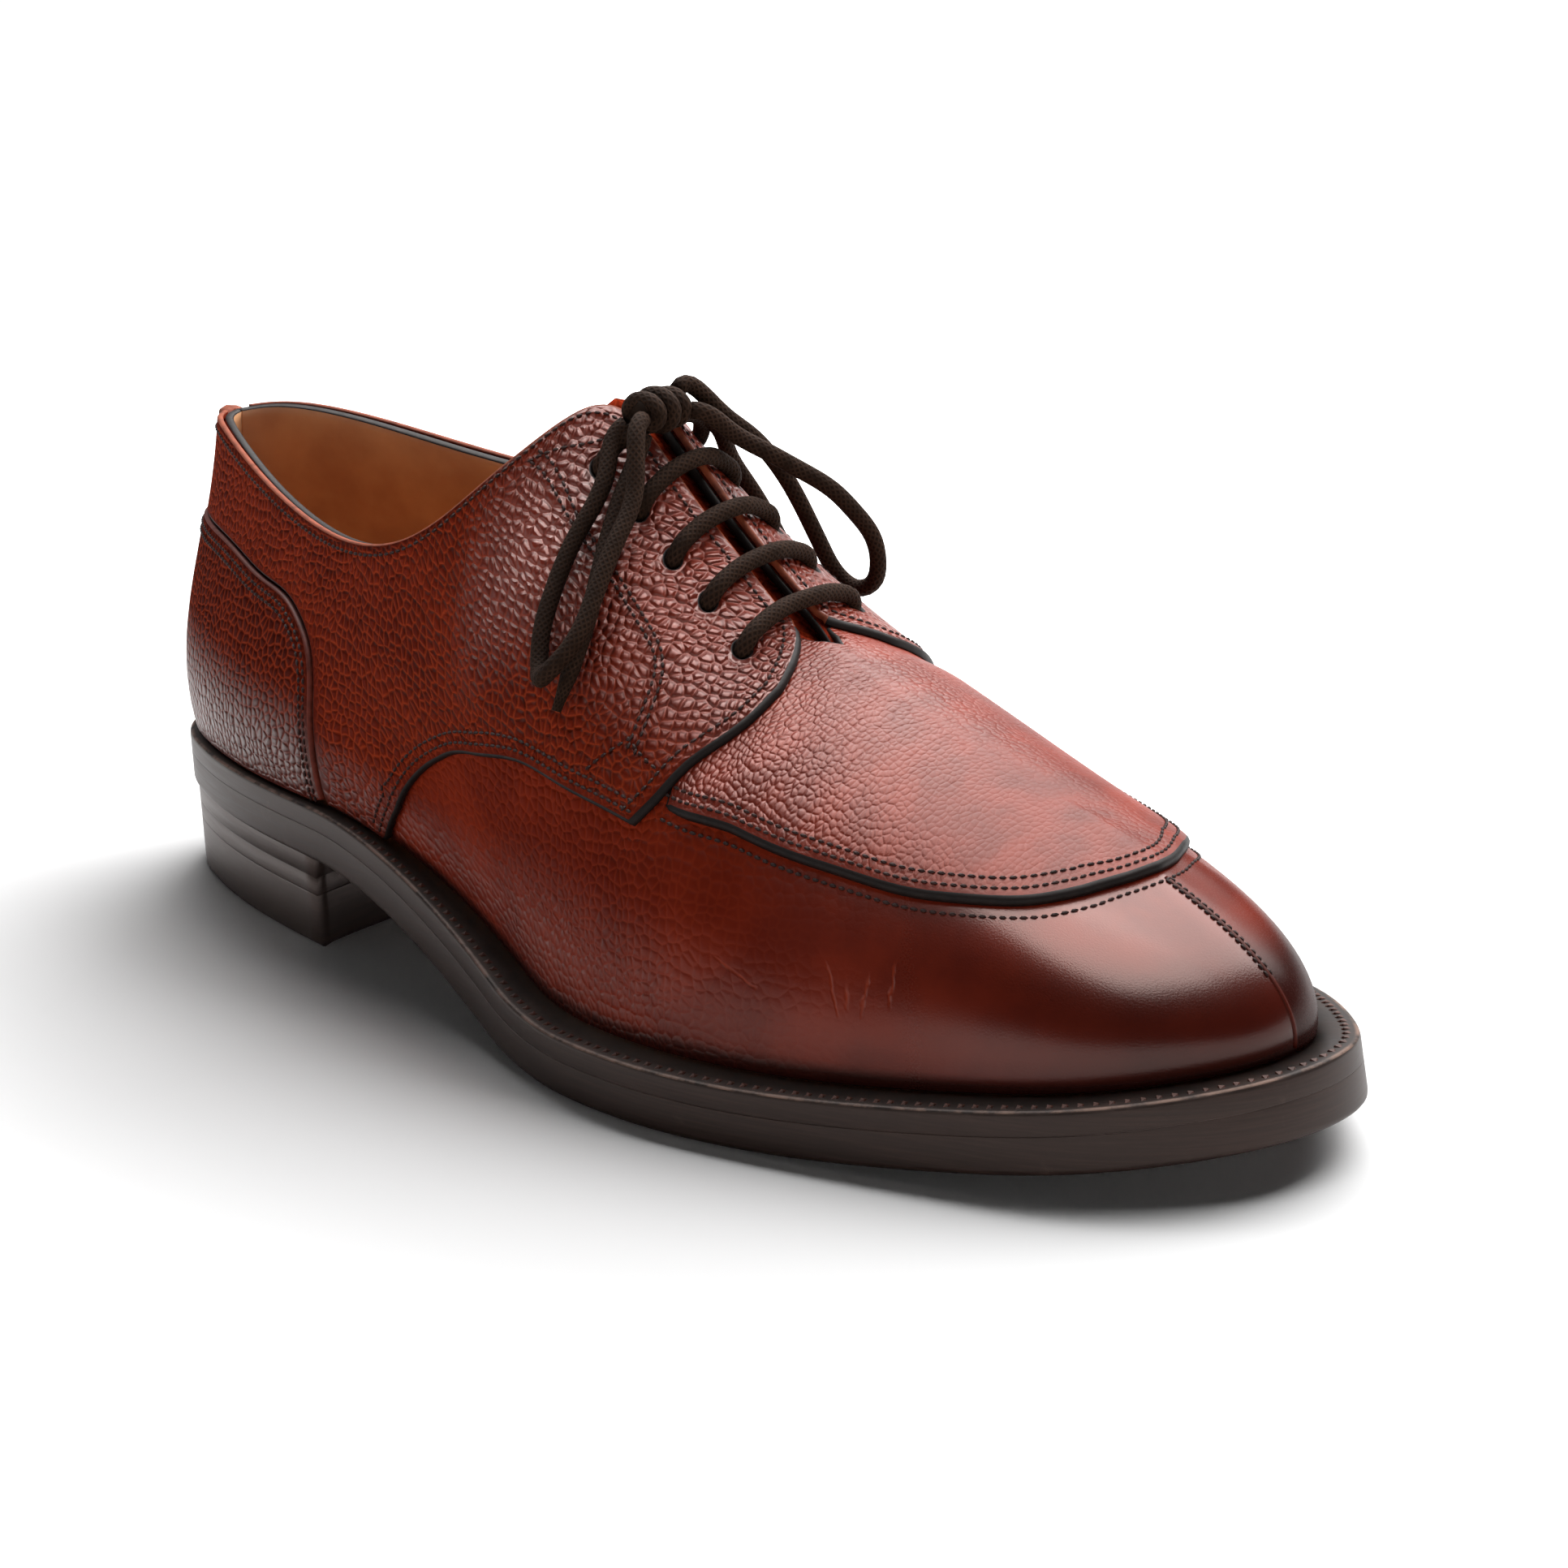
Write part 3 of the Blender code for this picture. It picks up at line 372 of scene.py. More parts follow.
def flat_place(row, t, side):
    """Place on the leather before it was pulled over the last, in millimetres."""
    mid, ribs = FLAT[side]
    i = np.clip((row/LAST_ROW*ROW_STEPS).astype(int), 0, ROW_STEPS - 1)
    j = np.clip((t*RIB_STEPS).astype(int), 0, RIB_STEPS - 1)
    a = row/LAST_ROW*ROW_STEPS - i
    b = t*RIB_STEPS - j
    rise = (ribs[i, j]*(1 - a)*(1 - b) + ribs[i + 1, j]*a*(1 - b)
            + ribs[i, j + 1]*(1 - a)*b + ribs[i + 1, j + 1]*a*b)
    return np.column_stack((np.interp(row, FLAT_ROWS, mid)*-side, rise))


def centre_line():
    """Ridge of the forepart, carried on down the toe seam."""
    ridge = top_point(np.linspace(THROAT_ROW, LAST_ROW, 60), LATERAL)
    levels = np.linspace(0.97, 0.3, 40)
    return np.vstack((ridge, upper_point(np.full(len(levels), LAST_ROW), levels, LATERAL)))


def crown_place(row, t, side):
    """The same for the top of the forepart, laid out to both sides of its centre line."""
    point = upper_point(row, t, side)
    middle = centre_line()
    y = np.interp(point[:, 0], middle[:, 0], middle[:, 1])
    z = np.interp(point[:, 0], middle[:, 0], middle[:, 2])
    across = np.hypot(point[:, 1] - y, np.maximum(z - point[:, 2], 0.0))*np.sign(point[:, 1] - y)
    return np.column_stack((point[:, 0]*CROWN_SCALE[0], across*CROWN_SCALE[1]))


print("leather laid flat:", round(FLAT[LATERAL][0][-1]), "mm along one side")

# %% [markdown]
# ## Writing shaders as sums
# A material is a graph of small nodes. Written out node by node it is hard to read, so one class stands
# for a node's output and lets it be added and multiplied like a number. A second one holds the material
# and makes any node from its kind, its settings and its inputs.

# %% Shader sums
def srgb(*levels):
    """Linear colour from the 0 to 255 levels seen on a screen."""
    share = np.array(levels)/255.0
    return tuple(np.where(share <= 0.04045, share/12.92, ((share + 0.055)/1.055)**2.4).tolist())


class Value:
    """Output of a shader node, used in sums like a number."""

    def __init__(self, paint, socket):
        self.paint = paint
        self.socket = socket

    def maths(self, kind, *others):
        return self.paint.maths(kind, self, *others)

    def __add__(self, other):
        return self.maths("ADD", other)

    def __sub__(self, other):
        return self.maths("SUBTRACT", other)

    def __mul__(self, other):
        return self.maths("MULTIPLY", other)

    def __truediv__(self, other):
        return self.maths("DIVIDE", other)

    def __pow__(self, other):
        return self.maths("POWER", other)

    def __rsub__(self, other):
        return self.paint.maths("SUBTRACT", other, self)

    def __rtruediv__(self, other):
        return self.paint.maths("DIVIDE", other, self)

    __radd__ = __add__
    __rmul__ = __mul__

    def ramp(self, low, high):
        """Soft step from 0 at low to 1 at high."""
        return self.paint.node("ShaderNodeMapRange", {"interpolation_type": "SMOOTHSTEP"},
                               {"Value": self, "From Min": low, "From Max": high})


class Graph:
    """A material and the nodes that feed it."""

    def __init__(self, name, **constants):
        self.material = bpy.data.materials.new(name)
        self.material.use_nodes = True
        self.tree = self.material.node_tree
        self.shader = self.tree.nodes["Principled BSDF"]
        for key, value in constants.items():
            self.shader.inputs[key.replace("_", " ")].default_value = value

    def put(self, target, value):
        """Link a value into a socket, or set it there."""
        if isinstance(value, Value):
            self.tree.links.new(value.socket, target)
        elif isinstance(value, tuple) and len(value) == 3 and target.type == "RGBA":
            target.default_value = (*value, 1.0)
        else:
            target.default_value = value

    def node(self, kind, settings, inputs, output=0):
        """Any node: its settings first, then its inputs; gives one output."""
        made = self.tree.nodes.new(kind)
        for key, value in settings.items():
            setattr(made, key, value)
        for key, value in inputs.items():
            self.put(made.inputs[key], value)
        return Value(self, made.outputs[output])

    def maths(self, kind, *values):
        return self.node("ShaderNodeMath", {"operation": kind}, dict(enumerate(values)))

    def mix(self, share, first, second):
        """Colour between two others."""
        return self.node("ShaderNodeMix", {"data_type": "RGBA"}, {0: share, 6: first, 7: second}, 2)

    def vector(self, kind, *values, output=0):
        return self.node("ShaderNodeVectorMath", {"operation": kind}, dict(enumerate(values)), output)

    def finish(self, **inputs):
        for key, value in inputs.items():
            self.put(self.shader.inputs[key.replace("_", " ")], value)
        return self.material


print("shader sums:", Value.__name__, "for an output and", Graph.__name__, "for a material")

# %% [markdown]
# Some patterns come back in several finishes, so they are written once: the places a pattern can start
# from, noise, a place pushed about by noise, a drawn stroke and a bump.

# %% Patterns
class Paint(Graph):
    """A material with the patterns of this shoe."""

    def flat(self):
        """Place on the leather laid flat, from the piece's UV map."""
        return self.node("ShaderNodeUVMap", {"uv_map": "flat"}, {})

    def place(self):
        """Place in the shoe's own frame, in metres."""
        return self.node("ShaderNodeTexCoord", {}, {}, 3)

    def own(self, name):
        """Value stored on the piece's points."""
        return self.node("ShaderNodeAttribute", {"attribute_name": name}, {}, 2)

    def noise(self, vector, scale, detail=2.0, roughness=0.5):
        return self.node("ShaderNodeTexNoise", {}, {"Vector": vector, "Scale": scale, "Detail": detail,
                                                    "Roughness": roughness})

    def warp(self, vector, scale, amount):
        """A place pushed about by noise, so that patterns lose their regularity."""
        push = self.node("ShaderNodeTexNoise", {}, {"Vector": vector, "Scale": scale, "Detail": 1.0}, 1)
        centred = self.vector("SUBTRACT", push, (0.5, 0.5, 0.5))
        return self.vector("ADD", vector, self.vector("MULTIPLY", centred, (amount, amount, 0.0)))

    def cells(self, feature, inputs):
        return self.node("ShaderNodeTexVoronoi", {"voronoi_dimensions": "2D", "feature": feature}, inputs)

    def stroke(self, vector, first, second, width):
        """Soft straight stroke between two places, 1 along its middle."""
        span = np.subtract(second, first)
        length = float(np.hypot(*span))
        ahead = tuple(span/length) + (0.0,)
        across = (-ahead[1], ahead[0], 0.0)
        away = self.vector("SUBTRACT", vector, (*first, 0.0))
        run = self.vector("DOT_PRODUCT", away, ahead, output=1)
        off = self.vector("DOT_PRODUCT", away, across, output=1)
        ends = run.ramp(-width, 4*width)*(1.0 - run.ramp(length - 4*width, length + width))
        return ends*(1.0 - off.maths("ABSOLUTE").ramp(0.0, width))

    def bump(self, height, strength, distance):
        return self.node("ShaderNodeBump", {}, {"Height": height, "Strength": strength, "Distance": distance})


print("patterns:", [name for name in vars(Paint) if not name.startswith("_")])

# %% [markdown]
# ## Light and floor
# The shoe stands on white paper in a dark room. A wide soft light behind and above it lights the top
# and throws the soft shadow forward. A second panel overhead shows only in the polish: it puts the pale
# sheen on the apron and the toe. The dark room keeps the walls deep in colour. Beyond the shoe the
# paper glows and its far rim rises, so that it stays white to the top of the picture.

# %% Light and floor
def panel_light(name, place, aim, size, power, diffuse=True):
    """Wide soft light that looks at a point of the shoe."""
    data = bpy.data.lights.new(name, "AREA")
    data.shape = "RECTANGLE"
    data.size, data.size_y = size
    data.energy = power
    light = bpy.data.objects.new(name, data)
    light.location = place
    light.visible_camera = False
    light.visible_diffuse = diffuse
    light.rotation_euler = (Vector(aim) - Vector(place)).to_track_quat("-Z", "Y").to_euler()
    return show(light)


SHOE_REACH = (0.19, 0.10)
NEAR_GLOW, FAR_GLOW = 0.45, 0.55
BLACK, WHITE, PAPER_WHITE = ((level,)*3 for level in (0.0, 1.0, 0.92))
FLOOR_SIDES = 64
COVE = ((5.0, 0.0), (5.6, 0.06), (5.85, 0.22), (5.95, 0.5), (6.0, 0.9))


def white_floor():
    """Round sheet of white paper under the shoe, curved up into a wall far behind it."""
    n = FLOOR_SIDES
    turn = np.linspace(0.0, 2*np.pi, n, endpoint=False)
    rings = [np.column_stack((reach*np.cos(turn), reach*np.sin(turn), np.full(n, height)))
             for reach, height in COVE]
    points = np.vstack(rings + [np.zeros((1, 3))])
    faces = [(k, (k + 1) % n, n*len(rings)) for k in range(n)]
    for low in range(0, n*(len(rings) - 1), n):
        high = low + n
        faces += [(high + k, high + (k + 1) % n, low + (k + 1) % n, low + k) for k in range(n)]
    mesh = bpy.data.meshes.new("floor")
    mesh.from_pydata(points.tolist(), [], faces)
    mesh.polygons.foreach_set("use_smooth", [True]*len(faces))
    paper = Paint("paper", Roughness=0.9, Specular_IOR_Level=0.0, Emission_Strength=1.0)
    beyond = paper.vector("MULTIPLY", paper.place(), (1/SHOE_REACH[0], 1/SHOE_REACH[1], 0.0))
    outside = paper.vector("LENGTH", beyond, output=1)
    share = outside.ramp(1.0, 2.1)*NEAR_GLOW + outside.ramp(2.0, 6.0)*FAR_GLOW
    glow = paper.mix(share, BLACK, WHITE)
    mesh.materials.append(paper.finish(Base_Color=PAPER_WHITE, Emission_Color=glow))
    floor = show(bpy.data.objects.new("floor", mesh))


world = bpy.data.worlds.new("studio")
world.use_nodes = True
room = world.node_tree.nodes["Background"].inputs
room["Color"].default_value = (*WHITE, 1.0)
room["Strength"].default_value = 0.02
bpy.context.scene.world = world
bpy.context.scene.view_settings.view_transform = "Standard"
white_floor()
panel_light("key", place=(-0.10, 0.48, 0.62), aim=(-0.02, 0.12, 0.0), size=(1.0, 0.72), power=17.0)
panel_light("sheen", place=(-0.10, -0.02, 0.62), aim=(-0.10, -0.02, 0.0), size=(1.0, 0.42), power=11.5,
            diffuse=False)

# %% [markdown]
# ## Leather
# Grained calf is embossed with little pebbles about two millimetres across, and the dye is lighter in
# the creases between them. Voronoi cells make the pebbles, on the piece's UV map in centimetres. Four
# values stored on the points say how a place looks: grain is the height of the pebbles,
# burnish the dark polish rubbed in together with painted shade in a few places, gloss the
# share of wax and shine how smooth the wax is. Bare leather mirrors nothing; a waxed shader is mixed
# over it by the share of wax. So one recipe serves every panel, and the values can change smoothly
# across it.

# %% Leather
WARM = (1.0, 0.82, 0.76)
PEBBLES_PER_CM = 4.8
EMBOSSED = 0.0008
FOLD_WIDTH = 0.05


def leather(name, light, dark, polish_and_shade_tone, crease_tone, folds=()):
    """Pebbled leather in two tones, darkened where it is burnished and where shade is painted, and shiny
    where it is waxed.
    """
    paint = Paint(name, Specular_IOR_Level=0.0)
    flat = paint.flat()
    grain = paint.own("grain")
    burnish = paint.own("burnish")
    gloss = paint.own("gloss")
    cells = paint.warp(paint.warp(flat, 0.9, 0.3), 5.0, 0.05)
    pattern = {"Vector": cells, "Scale": PEBBLES_PER_CM, "Randomness": 0.72}
    crease = paint.cells("DISTANCE_TO_EDGE", pattern)
    middle = paint.cells("SMOOTH_F1", {**pattern, "Smoothness": 0.18})
    cloud = paint.noise(flat, 0.55, 3.0)
    dome = 1.0 - middle*middle*2.0
    height = (crease.ramp(-0.02, 0.34)*0.35 + dome*0.65)*grain
    fine = paint.noise(flat, 26.0, 3.0)
    sunk = (1.0 - crease.ramp(0.0, 0.24))*grain
    tone = paint.mix(cloud.ramp(0.32, 0.68), light, dark)
    # Darkens towards the dark tone by burnish: real polish, and painted shade where the looks put it.
    tone = paint.mix(burnish, tone, polish_and_shade_tone)
    tone = paint.mix(sunk*(0.75 - gloss*0.5), tone, crease_tone)
    wavy = paint.warp(flat, 4.0, 0.12)
    for first, second in folds:
        fold = paint.stroke(wavy, first, second, FOLD_WIDTH)
        tone = paint.mix(fold*0.45, tone, crease_tone)
        height = height - fold*0.18
    rough = 0.40 - gloss*0.10 + sunk*0.10 + fine*0.05 - paint.own("shine")*0.12
    normal = paint.bump(height + fine*0.03, 1.0, EMBOSSED)
    paint.finish(Base_Color=tone, Roughness=rough, Normal=normal)
    waxed = paint.node("ShaderNodeBsdfPrincipled", {},
                       {"Base Color": tone, "Roughness": rough, "Normal": normal,
                        "Specular IOR Level": 0.52, "Specular Tint": WARM})
    bare = Value(paint, paint.shader.outputs[0])
    both = paint.node("ShaderNodeMixShader", {}, {0: gloss, 1: bare, 2: waxed})
    paint.put(paint.tree.nodes["Material Output"].inputs["Surface"], both)
    return paint.material


# The third tone is the dark polish, which also serves as painted shade.
DYE = (srgb(138, 43, 21), srgb(112, 32, 16), srgb(38, 10, 7), srgb(156, 56, 28))
HIDE = leather("oxblood leather", *DYE)
DARK_DYE = (srgb(40, 24, 19), srgb(26, 17, 14), srgb(16, 11, 10), srgb(20, 13, 11))
DARK_HIDE = leather("dark strip leather", *DARK_DYE)
print("leathers:", HIDE.name, DARK_HIDE.name)

# %% [markdown]
# ## Plainer finishes
# Cut edges are painted nearly black, rubbed through to the dye or left raw; waxed thread looks much the
# same. The lining is smooth tan calf. Each shows only a few millimetres wide, so noise in the shoe's
# own frame is enough.

# %% Edges and lining
def edge_paint(name, colour, rough):
    """Painted or cut leather edge with a little unevenness."""
    paint = Paint(name, Specular_IOR_Level=0.15)
    patch = paint.noise(paint.place(), 420.0, 3.0)
    tone = paint.mix(patch.ramp(0.35, 0.75), colour, tuple(0.55*c for c in colour))
    return paint.finish(Base_Color=tone, Roughness=rough + patch*0.2,
                        Normal=paint.bump(patch, 0.25, 0.0003))


def lining_calf():
    """Smooth tan lining with soft marks."""
    paint = Paint("tan lining")
    patch = paint.noise(paint.place(), 60.0, 4.0)
    tone = paint.mix(patch.ramp(0.3, 0.7), srgb(206, 152, 106), srgb(184, 128, 86))
    return paint.finish(Base_Color=tone, Roughness=0.55 + patch*0.1)


PAINTED_EDGE = edge_paint("painted edge", srgb(26, 16, 13), 0.42)
RUST_EDGE = edge_paint("rust cut edge", srgb(150, 72, 44), 0.6)
WORN_EDGE = edge_paint("worn edge", srgb(112, 44, 30), 0.45)
LINING = lining_calf()
print("edges and lining:", [m.name for m in (PAINTED_EDGE, RUST_EDGE, WORN_EDGE, LINING)])

# %% [markdown]
# The sole's edge is inked, ironed hot and waxed, which leaves fine lines along it. The welt is painted
# pale at its rim, partly as wear and partly as a painted highlight on its rounded edge; the rim is a
# value stored on its points. The lace is a round braid of waxed cotton: two sine waves that slant
# against each other make its strands.

# %% Sole, welt and lace finishes
BRAID_ROUND = 9*2*math.pi
BRAID_ALONG = 46.0


def inked_edge(name, sheen):
    """Waxed sole or heel edge: dark brown-black with fine lines along it and worn paler spots."""
    paint = Paint(name, Specular_IOR_Level=sheen, Specular_Tint=(*WARM, 1.0))
    place = paint.place()
    lines = paint.noise(paint.vector("MULTIPLY", place, (60.0, 60.0, 1800.0)), 1.0, 3.0)
    worn = paint.noise(place, 140.0, 4.0, 0.65)
    tone = paint.mix(lines.ramp(0.35, 0.75), srgb(36, 24, 20), srgb(50, 35, 30))
    tone = paint.mix(worn.ramp(0.60, 0.85), tone, srgb(68, 52, 46))
    return paint.finish(Base_Color=tone, Roughness=0.36 + lines*0.16,
                        Normal=paint.bump(lines, 0.12, 0.0002))


def welt_leather():
    """Welt: dark brown, painted pale along its rim as wear and as a painted highlight."""
    paint = Paint("welt leather", Specular_IOR_Level=0.17, Specular_Tint=(*WARM, 1.0))
    patch = paint.noise(paint.place(), 180.0, 4.0, 0.6)
    tone = paint.mix(patch.ramp(0.35, 0.75), srgb(19, 12, 10), srgb(38, 25, 20))
    # Pale rim: partly wear, partly a painted highlight on the rounded edge.
    tone = paint.mix(paint.own("rubbed")*patch.ramp(0.35, 0.65), tone, srgb(124, 97, 84))
    return paint.finish(Base_Color=tone, Roughness=0.45 + patch*0.15, Normal=paint.bump(patch, 0.3, 0.0003))


def waxed_cord():
    """Round woven lace: slanting strands from its own UV map."""
    paint = Paint("waxed lace", Specular_IOR_Level=0.05, Specular_Tint=(*WARM, 1.0))
    flat = paint.flat()
    parts = paint.node("ShaderNodeSeparateXYZ", {}, {0: flat})
    around = Value(paint, parts.socket.node.outputs[0])
    length = Value(paint, parts.socket.node.outputs[1])
    left = (around*BRAID_ROUND + length*BRAID_ALONG).maths("SINE")
    right = (around*BRAID_ROUND - length*BRAID_ALONG).maths("SINE")
    weave = left.maths("MAXIMUM", right)
    patch = paint.noise(paint.place(), 300.0, 3.0)
    tone = paint.mix(weave.ramp(-0.4, 0.9), srgb(30, 19, 13), srgb(52, 36, 27))
    tone = paint.mix(patch.ramp(0.40, 0.75), tone, srgb(36, 24, 17))
    return paint.finish(Base_Color=tone, Roughness=0.75, Normal=paint.bump(weave + patch*0.9, 0.4, 0.0002))


SOLE_EDGE = inked_edge("inked sole edge", 0.4)
HEEL_EDGE = inked_edge("waxed heel edge", 0.85)
WELT = welt_leather()
CORD = waxed_cord()
# Paler brown of the wheel marks: a painted highlight on the ridges of the welt.
WHEEL_MARK_HIGHLIGHT = edge_paint("wheel marks painted highlight", srgb(84, 48, 37), 0.4)
THREAD = edge_paint("waxed thread", srgb(50, 23, 17), 0.5)
print("finishes:", [m.name for m in (SOLE_EDGE, HEEL_EDGE, WELT, CORD, WHEEL_MARK_HIGHLIGHT, THREAD)])

# %% [markdown]
# ## Making a piece
# Every finished piece is one closed mesh at the origin with its place in its points. The helper below
# takes points in the last's millimetres, writes UV places and stored values, hangs the piece on the
# shoe's body, names it after the solid it stands for and hides that solid. Writing whole lists at once
# is much faster than visiting each face in turn.

# %% Making a piece
MADE = {}
MM_PER_UV = 10.0


def in_metres(points):
    """Places of the last in the part's frame, as plain lists."""
    return ((np.asarray(points) - ORIGIN)*MM).tolist()


def hang(made, name):
    """Put a finished piece on the shoe's body."""
    show(made)
    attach(made, "root")
    MADE[name] = made
    return made


def piece(name, points, faces, materials, kinds=None, flat=None, values=None):
    """Finished twin of a solid; kinds pick a material for each face, flat holds a UV per face corner."""
    mesh = bpy.data.meshes.new(name)
    mesh.from_pydata(in_metres(points), [], [tuple(int(v) for v in face) for face in faces])
    for material in materials:
        mesh.materials.append(material)
    mesh.polygons.foreach_set("use_smooth", [True]*len(mesh.polygons))
    if kinds is not None:
        mesh.polygons.foreach_set("material_index", np.asarray(kinds, int))
    if flat is not None:
        mesh.uv_layers.new(name="flat").data.foreach_set("uv", np.asarray(flat, float).ravel())
    for key, numbers in (values or {}).items():
        mesh.attributes.new(key, "FLOAT", "POINT").data.foreach_set("value", np.asarray(numbers, float))
    made = hang(bpy.data.objects.new("finished_" + name, mesh), name)
    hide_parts(name)
    return made


def ring_faces(rings, count, closed=False):
    """Sides between successive closed rings of points."""
    faces = []
    for k in range(rings if closed else rings - 1):
        low, high = k*count, ((k + 1) % rings)*count
        for i in range(count):
            j = (i + 1) % count
            faces.append((low + i, low + j, high + j, high + i))
    return faces


def outward(points, faces):
    """Faces turned so that the closed shape has a positive volume."""
    corners = [(points[f[0]], points[f[k]], points[f[k + 1]]) for f in faces for k in range(1, len(f) - 1)]
    volume = sum(np.dot(a, np.cross(b, c)) for a, b, c in corners)
    return faces if volume > 0 else [f[::-1] for f in faces]


print("a ring of four sides:", ring_faces(2, 4))

# %% [markdown]
# ## Lace
# The lace goes through five pairs of eyelets and is tied in a bow. The loops and the ends hang free;
# each is a round tube along the same route as its solid. Where a strand lies on the leather its route is
# given on the last, as a row, a place up the rib and a lift; the free medial loop is given in
# millimetres. Every strand leaves the knot square to its face.

# %% Lace routes
LACE = 1.7
SKIN_GAP, PANEL = 0.45, 1.3
EYELETS = ((9.95, 0.875), (10.75, 0.88), (11.43, 0.87), (12.1, 0.865), (12.88, 0.845))
KNOT_CENTRE = np.array((154.2, -3.6, 114.0))
KNOT_RADII = np.array((5.6, 6.2, 4.6))
KNOT_OFF = (0.5, 1.5)
INSIDE, CLEARANCE = -1.6, 0.15
LATERAL_LEAVE = ((-0.45, -0.80, -0.40), (0.40, -0.85, -0.10), (0.10, -0.62, -0.78))
MEDIAL_LEAVE = ((0.60, 0.80, -0.10), (-0.05, 0.86, 0.52), (-0.40, 0.90, -0.22))
LATERAL_LOOP = ((10.2, 0.87, 5.6), (10.16, 0.75, 4.2), (10.03, 0.65, 4.2), (9.98, 0.58, 4.2),
                (10.15, 0.54, 4.8), (10.5, 0.548, 7.8), (10.85, 0.60, 8.4), (10.97, 0.70, 8.4),
                (10.9, 0.80, 9.0), (10.76, 0.87, 9.6))
LATERAL_END = ((10.52, 0.87, 5.0), (10.62, 0.80, 4.1), (10.72, 0.74, 4.0), (10.79, 0.68, 4.0),
               (10.78, 0.62, 4.0), (10.7, 0.56, 4.0), (10.58, 0.51, 4.0))
MEDIAL_LOOP = ((161.0, 9.0, 108.4), (164.8, 13.5, 104.6), (168.3, 19.0, 100.4), (172.0, 24.0, 96.0),
               (174.0, 28.0, 91.0), (175.4, 31.0, 86.0), (175.2, 32.5, 80.6), (173.0, 33.0, 76.0),
               (169.0, 32.4, 74.6), (165.6, 31.0, 77.0), (164.4, 28.6, 82.0), (163.6, 26.0, 88.0),
               (162.6, 23.4, 94.0), (161.2, 20.0, 100.4), (159.2, 15.6, 106.4), (156.6, 10.4, 111.6))
MEDIAL_END = ((10.12, 0.90, 6.2), (10.1, 0.83, 4.6), (10.12, 0.75, 4.2), (10.16, 0.66, 4.2),
              (10.18, 0.56, 4.2))


def on_side(side, table):
    """Route points from (row, rib place, lift) on one side of the upper."""
    return np.vstack([skin(row, t, side, lift) for row, t, lift in table])


def at_knot(direction):
    """First two places of a strand that leaves the knot square to its face."""
    turn = np.array(direction)/np.linalg.norm(direction)
    out = turn/KNOT_RADII
    out /= np.linalg.norm(out)
    return np.array([KNOT_CENTRE + KNOT_RADII*turn + out*reach for reach in KNOT_OFF])


def strands(leave, loop, end):
    """Routes of the loop and the end on one side of the knot."""
    start, home, tail = (at_knot(direction) for direction in leave)
    return np.vstack((start, loop, home[::-1])), np.vstack((tail, end))


LATERAL_STRANDS = strands(LATERAL_LEAVE, on_side(LATERAL, LATERAL_LOOP), on_side(LATERAL, LATERAL_END))
MEDIAL_STRANDS = strands(MEDIAL_LEAVE, MEDIAL_LOOP, on_side(MEDIAL, MEDIAL_END))
print("route points:", [len(route) for route in LATERAL_STRANDS + MEDIAL_STRANDS])

# %% [markdown]
# A tube is a ring of points carried along its route. Each ring starts from the direction of the ring
# before, made square to the route again, so the tube doesn't twist and the braid runs on evenly. Its UV
# goes round and along.

# %% Lace cords
CORD_STEP = 1.4
TIP_SIZE, TIP_LENGTH = 0.55, 9.0


def tube(path, radius, sides=12, closed=False):
    """Points, outward faces and UV places of a round tube along a path, with closed ends."""
    path = np.asarray(path, float)
    count = len(path)
    ahead = np.roll(path, -1, axis=0) - np.roll(path, 1, axis=0)
    if not closed:
        ahead[0], ahead[-1] = path[1] - path[0], path[-1] - path[-2]
    ahead /= np.linalg.norm(ahead, axis=1)[:, None]
    side = np.cross(ahead[0], (0.0, 0.0, 1.0) if abs(ahead[0, 2]) < 0.9 else (1.0, 0.0, 0.0))
    turn = np.linspace(0.0, 2*np.pi, sides, endpoint=False)
    radius = np.broadcast_to(np.asarray(radius, float), (count,))
    rings = []
    for i in range(count):
        side = side - ahead[i]*(side @ ahead[i])
        side /= np.linalg.norm(side)
        other = np.cross(ahead[i], side)
        rings.append(path[i] + radius[i]*(np.cos(turn)[:, None]*side + np.sin(turn)[:, None]*other))
    points = np.vstack(rings)
    length = chords(path)/MM_PER_UV
    faces = ring_faces(count, sides, closed)
    flat = []
    for k in range(count if closed else count - 1):
        near, far = length[k], length[k + 1] if k + 1 < count else length[-1] + length[1]
        for i in range(sides):
            a, b = i/sides, (i + 1)/sides
            flat += [(a, near), (b, near), (b, far), (a, far)]
    if not closed:
        points = np.vstack((points, path[0], path[-1]))
        for i in range(sides):
            j = (i + 1) % sides
            faces.append((j, i, count*sides))
            faces.append(((count - 1)*sides + i, (count - 1)*sides + j, count*sides + 1))
            flat += [(0.0, 0.0)]*3 + [(0.0, length[-1])]*3
    return points, faces, flat


def lace_cord(name, route, far_end):
    """Free strand of the lace; a bare end tapers to its tip."""
    path = along(route, CORD_STEP)
    left = chords(path)[-1] - chords(path)
    taper = TIP_SIZE + (1.0 - TIP_SIZE)*smooth(left/TIP_LENGTH)
    points, faces, flat = tube(path, LACE*taper if far_end == "bare" else LACE)
    made = piece(name, points, faces, [CORD], flat=flat)
    line = (path - ORIGIN)*MM
    return made


for side_name, (loop, end) in (("lateral", LATERAL_STRANDS), ("medial", MEDIAL_STRANDS)):
    lace_cord("lace_loop_" + side_name, loop, "knot")
    lace_cord("lace_end_" + side_name, end, "bare")

# %% [markdown]
# The crossings are short bars that come up out of one eyelet, lie over both facings and go down the
# other. The knot is three turns of the same lace wound side by side round a core, with the strands from
# the first eyelets running into it. They are closed tubes that overlap in one mesh, which looks like
# one tied knot.

# %% Lace crossings and knot
def joined(parts):
    """Several closed shapes in one mesh."""
    points, faces, flat, start = [], [], [], 0
    for some, sides, places in parts:
        points.append(some)
        faces += [tuple(v + start for v in face) for face in sides]
        flat += places
        start += len(some)
    return np.vstack(points), faces, flat


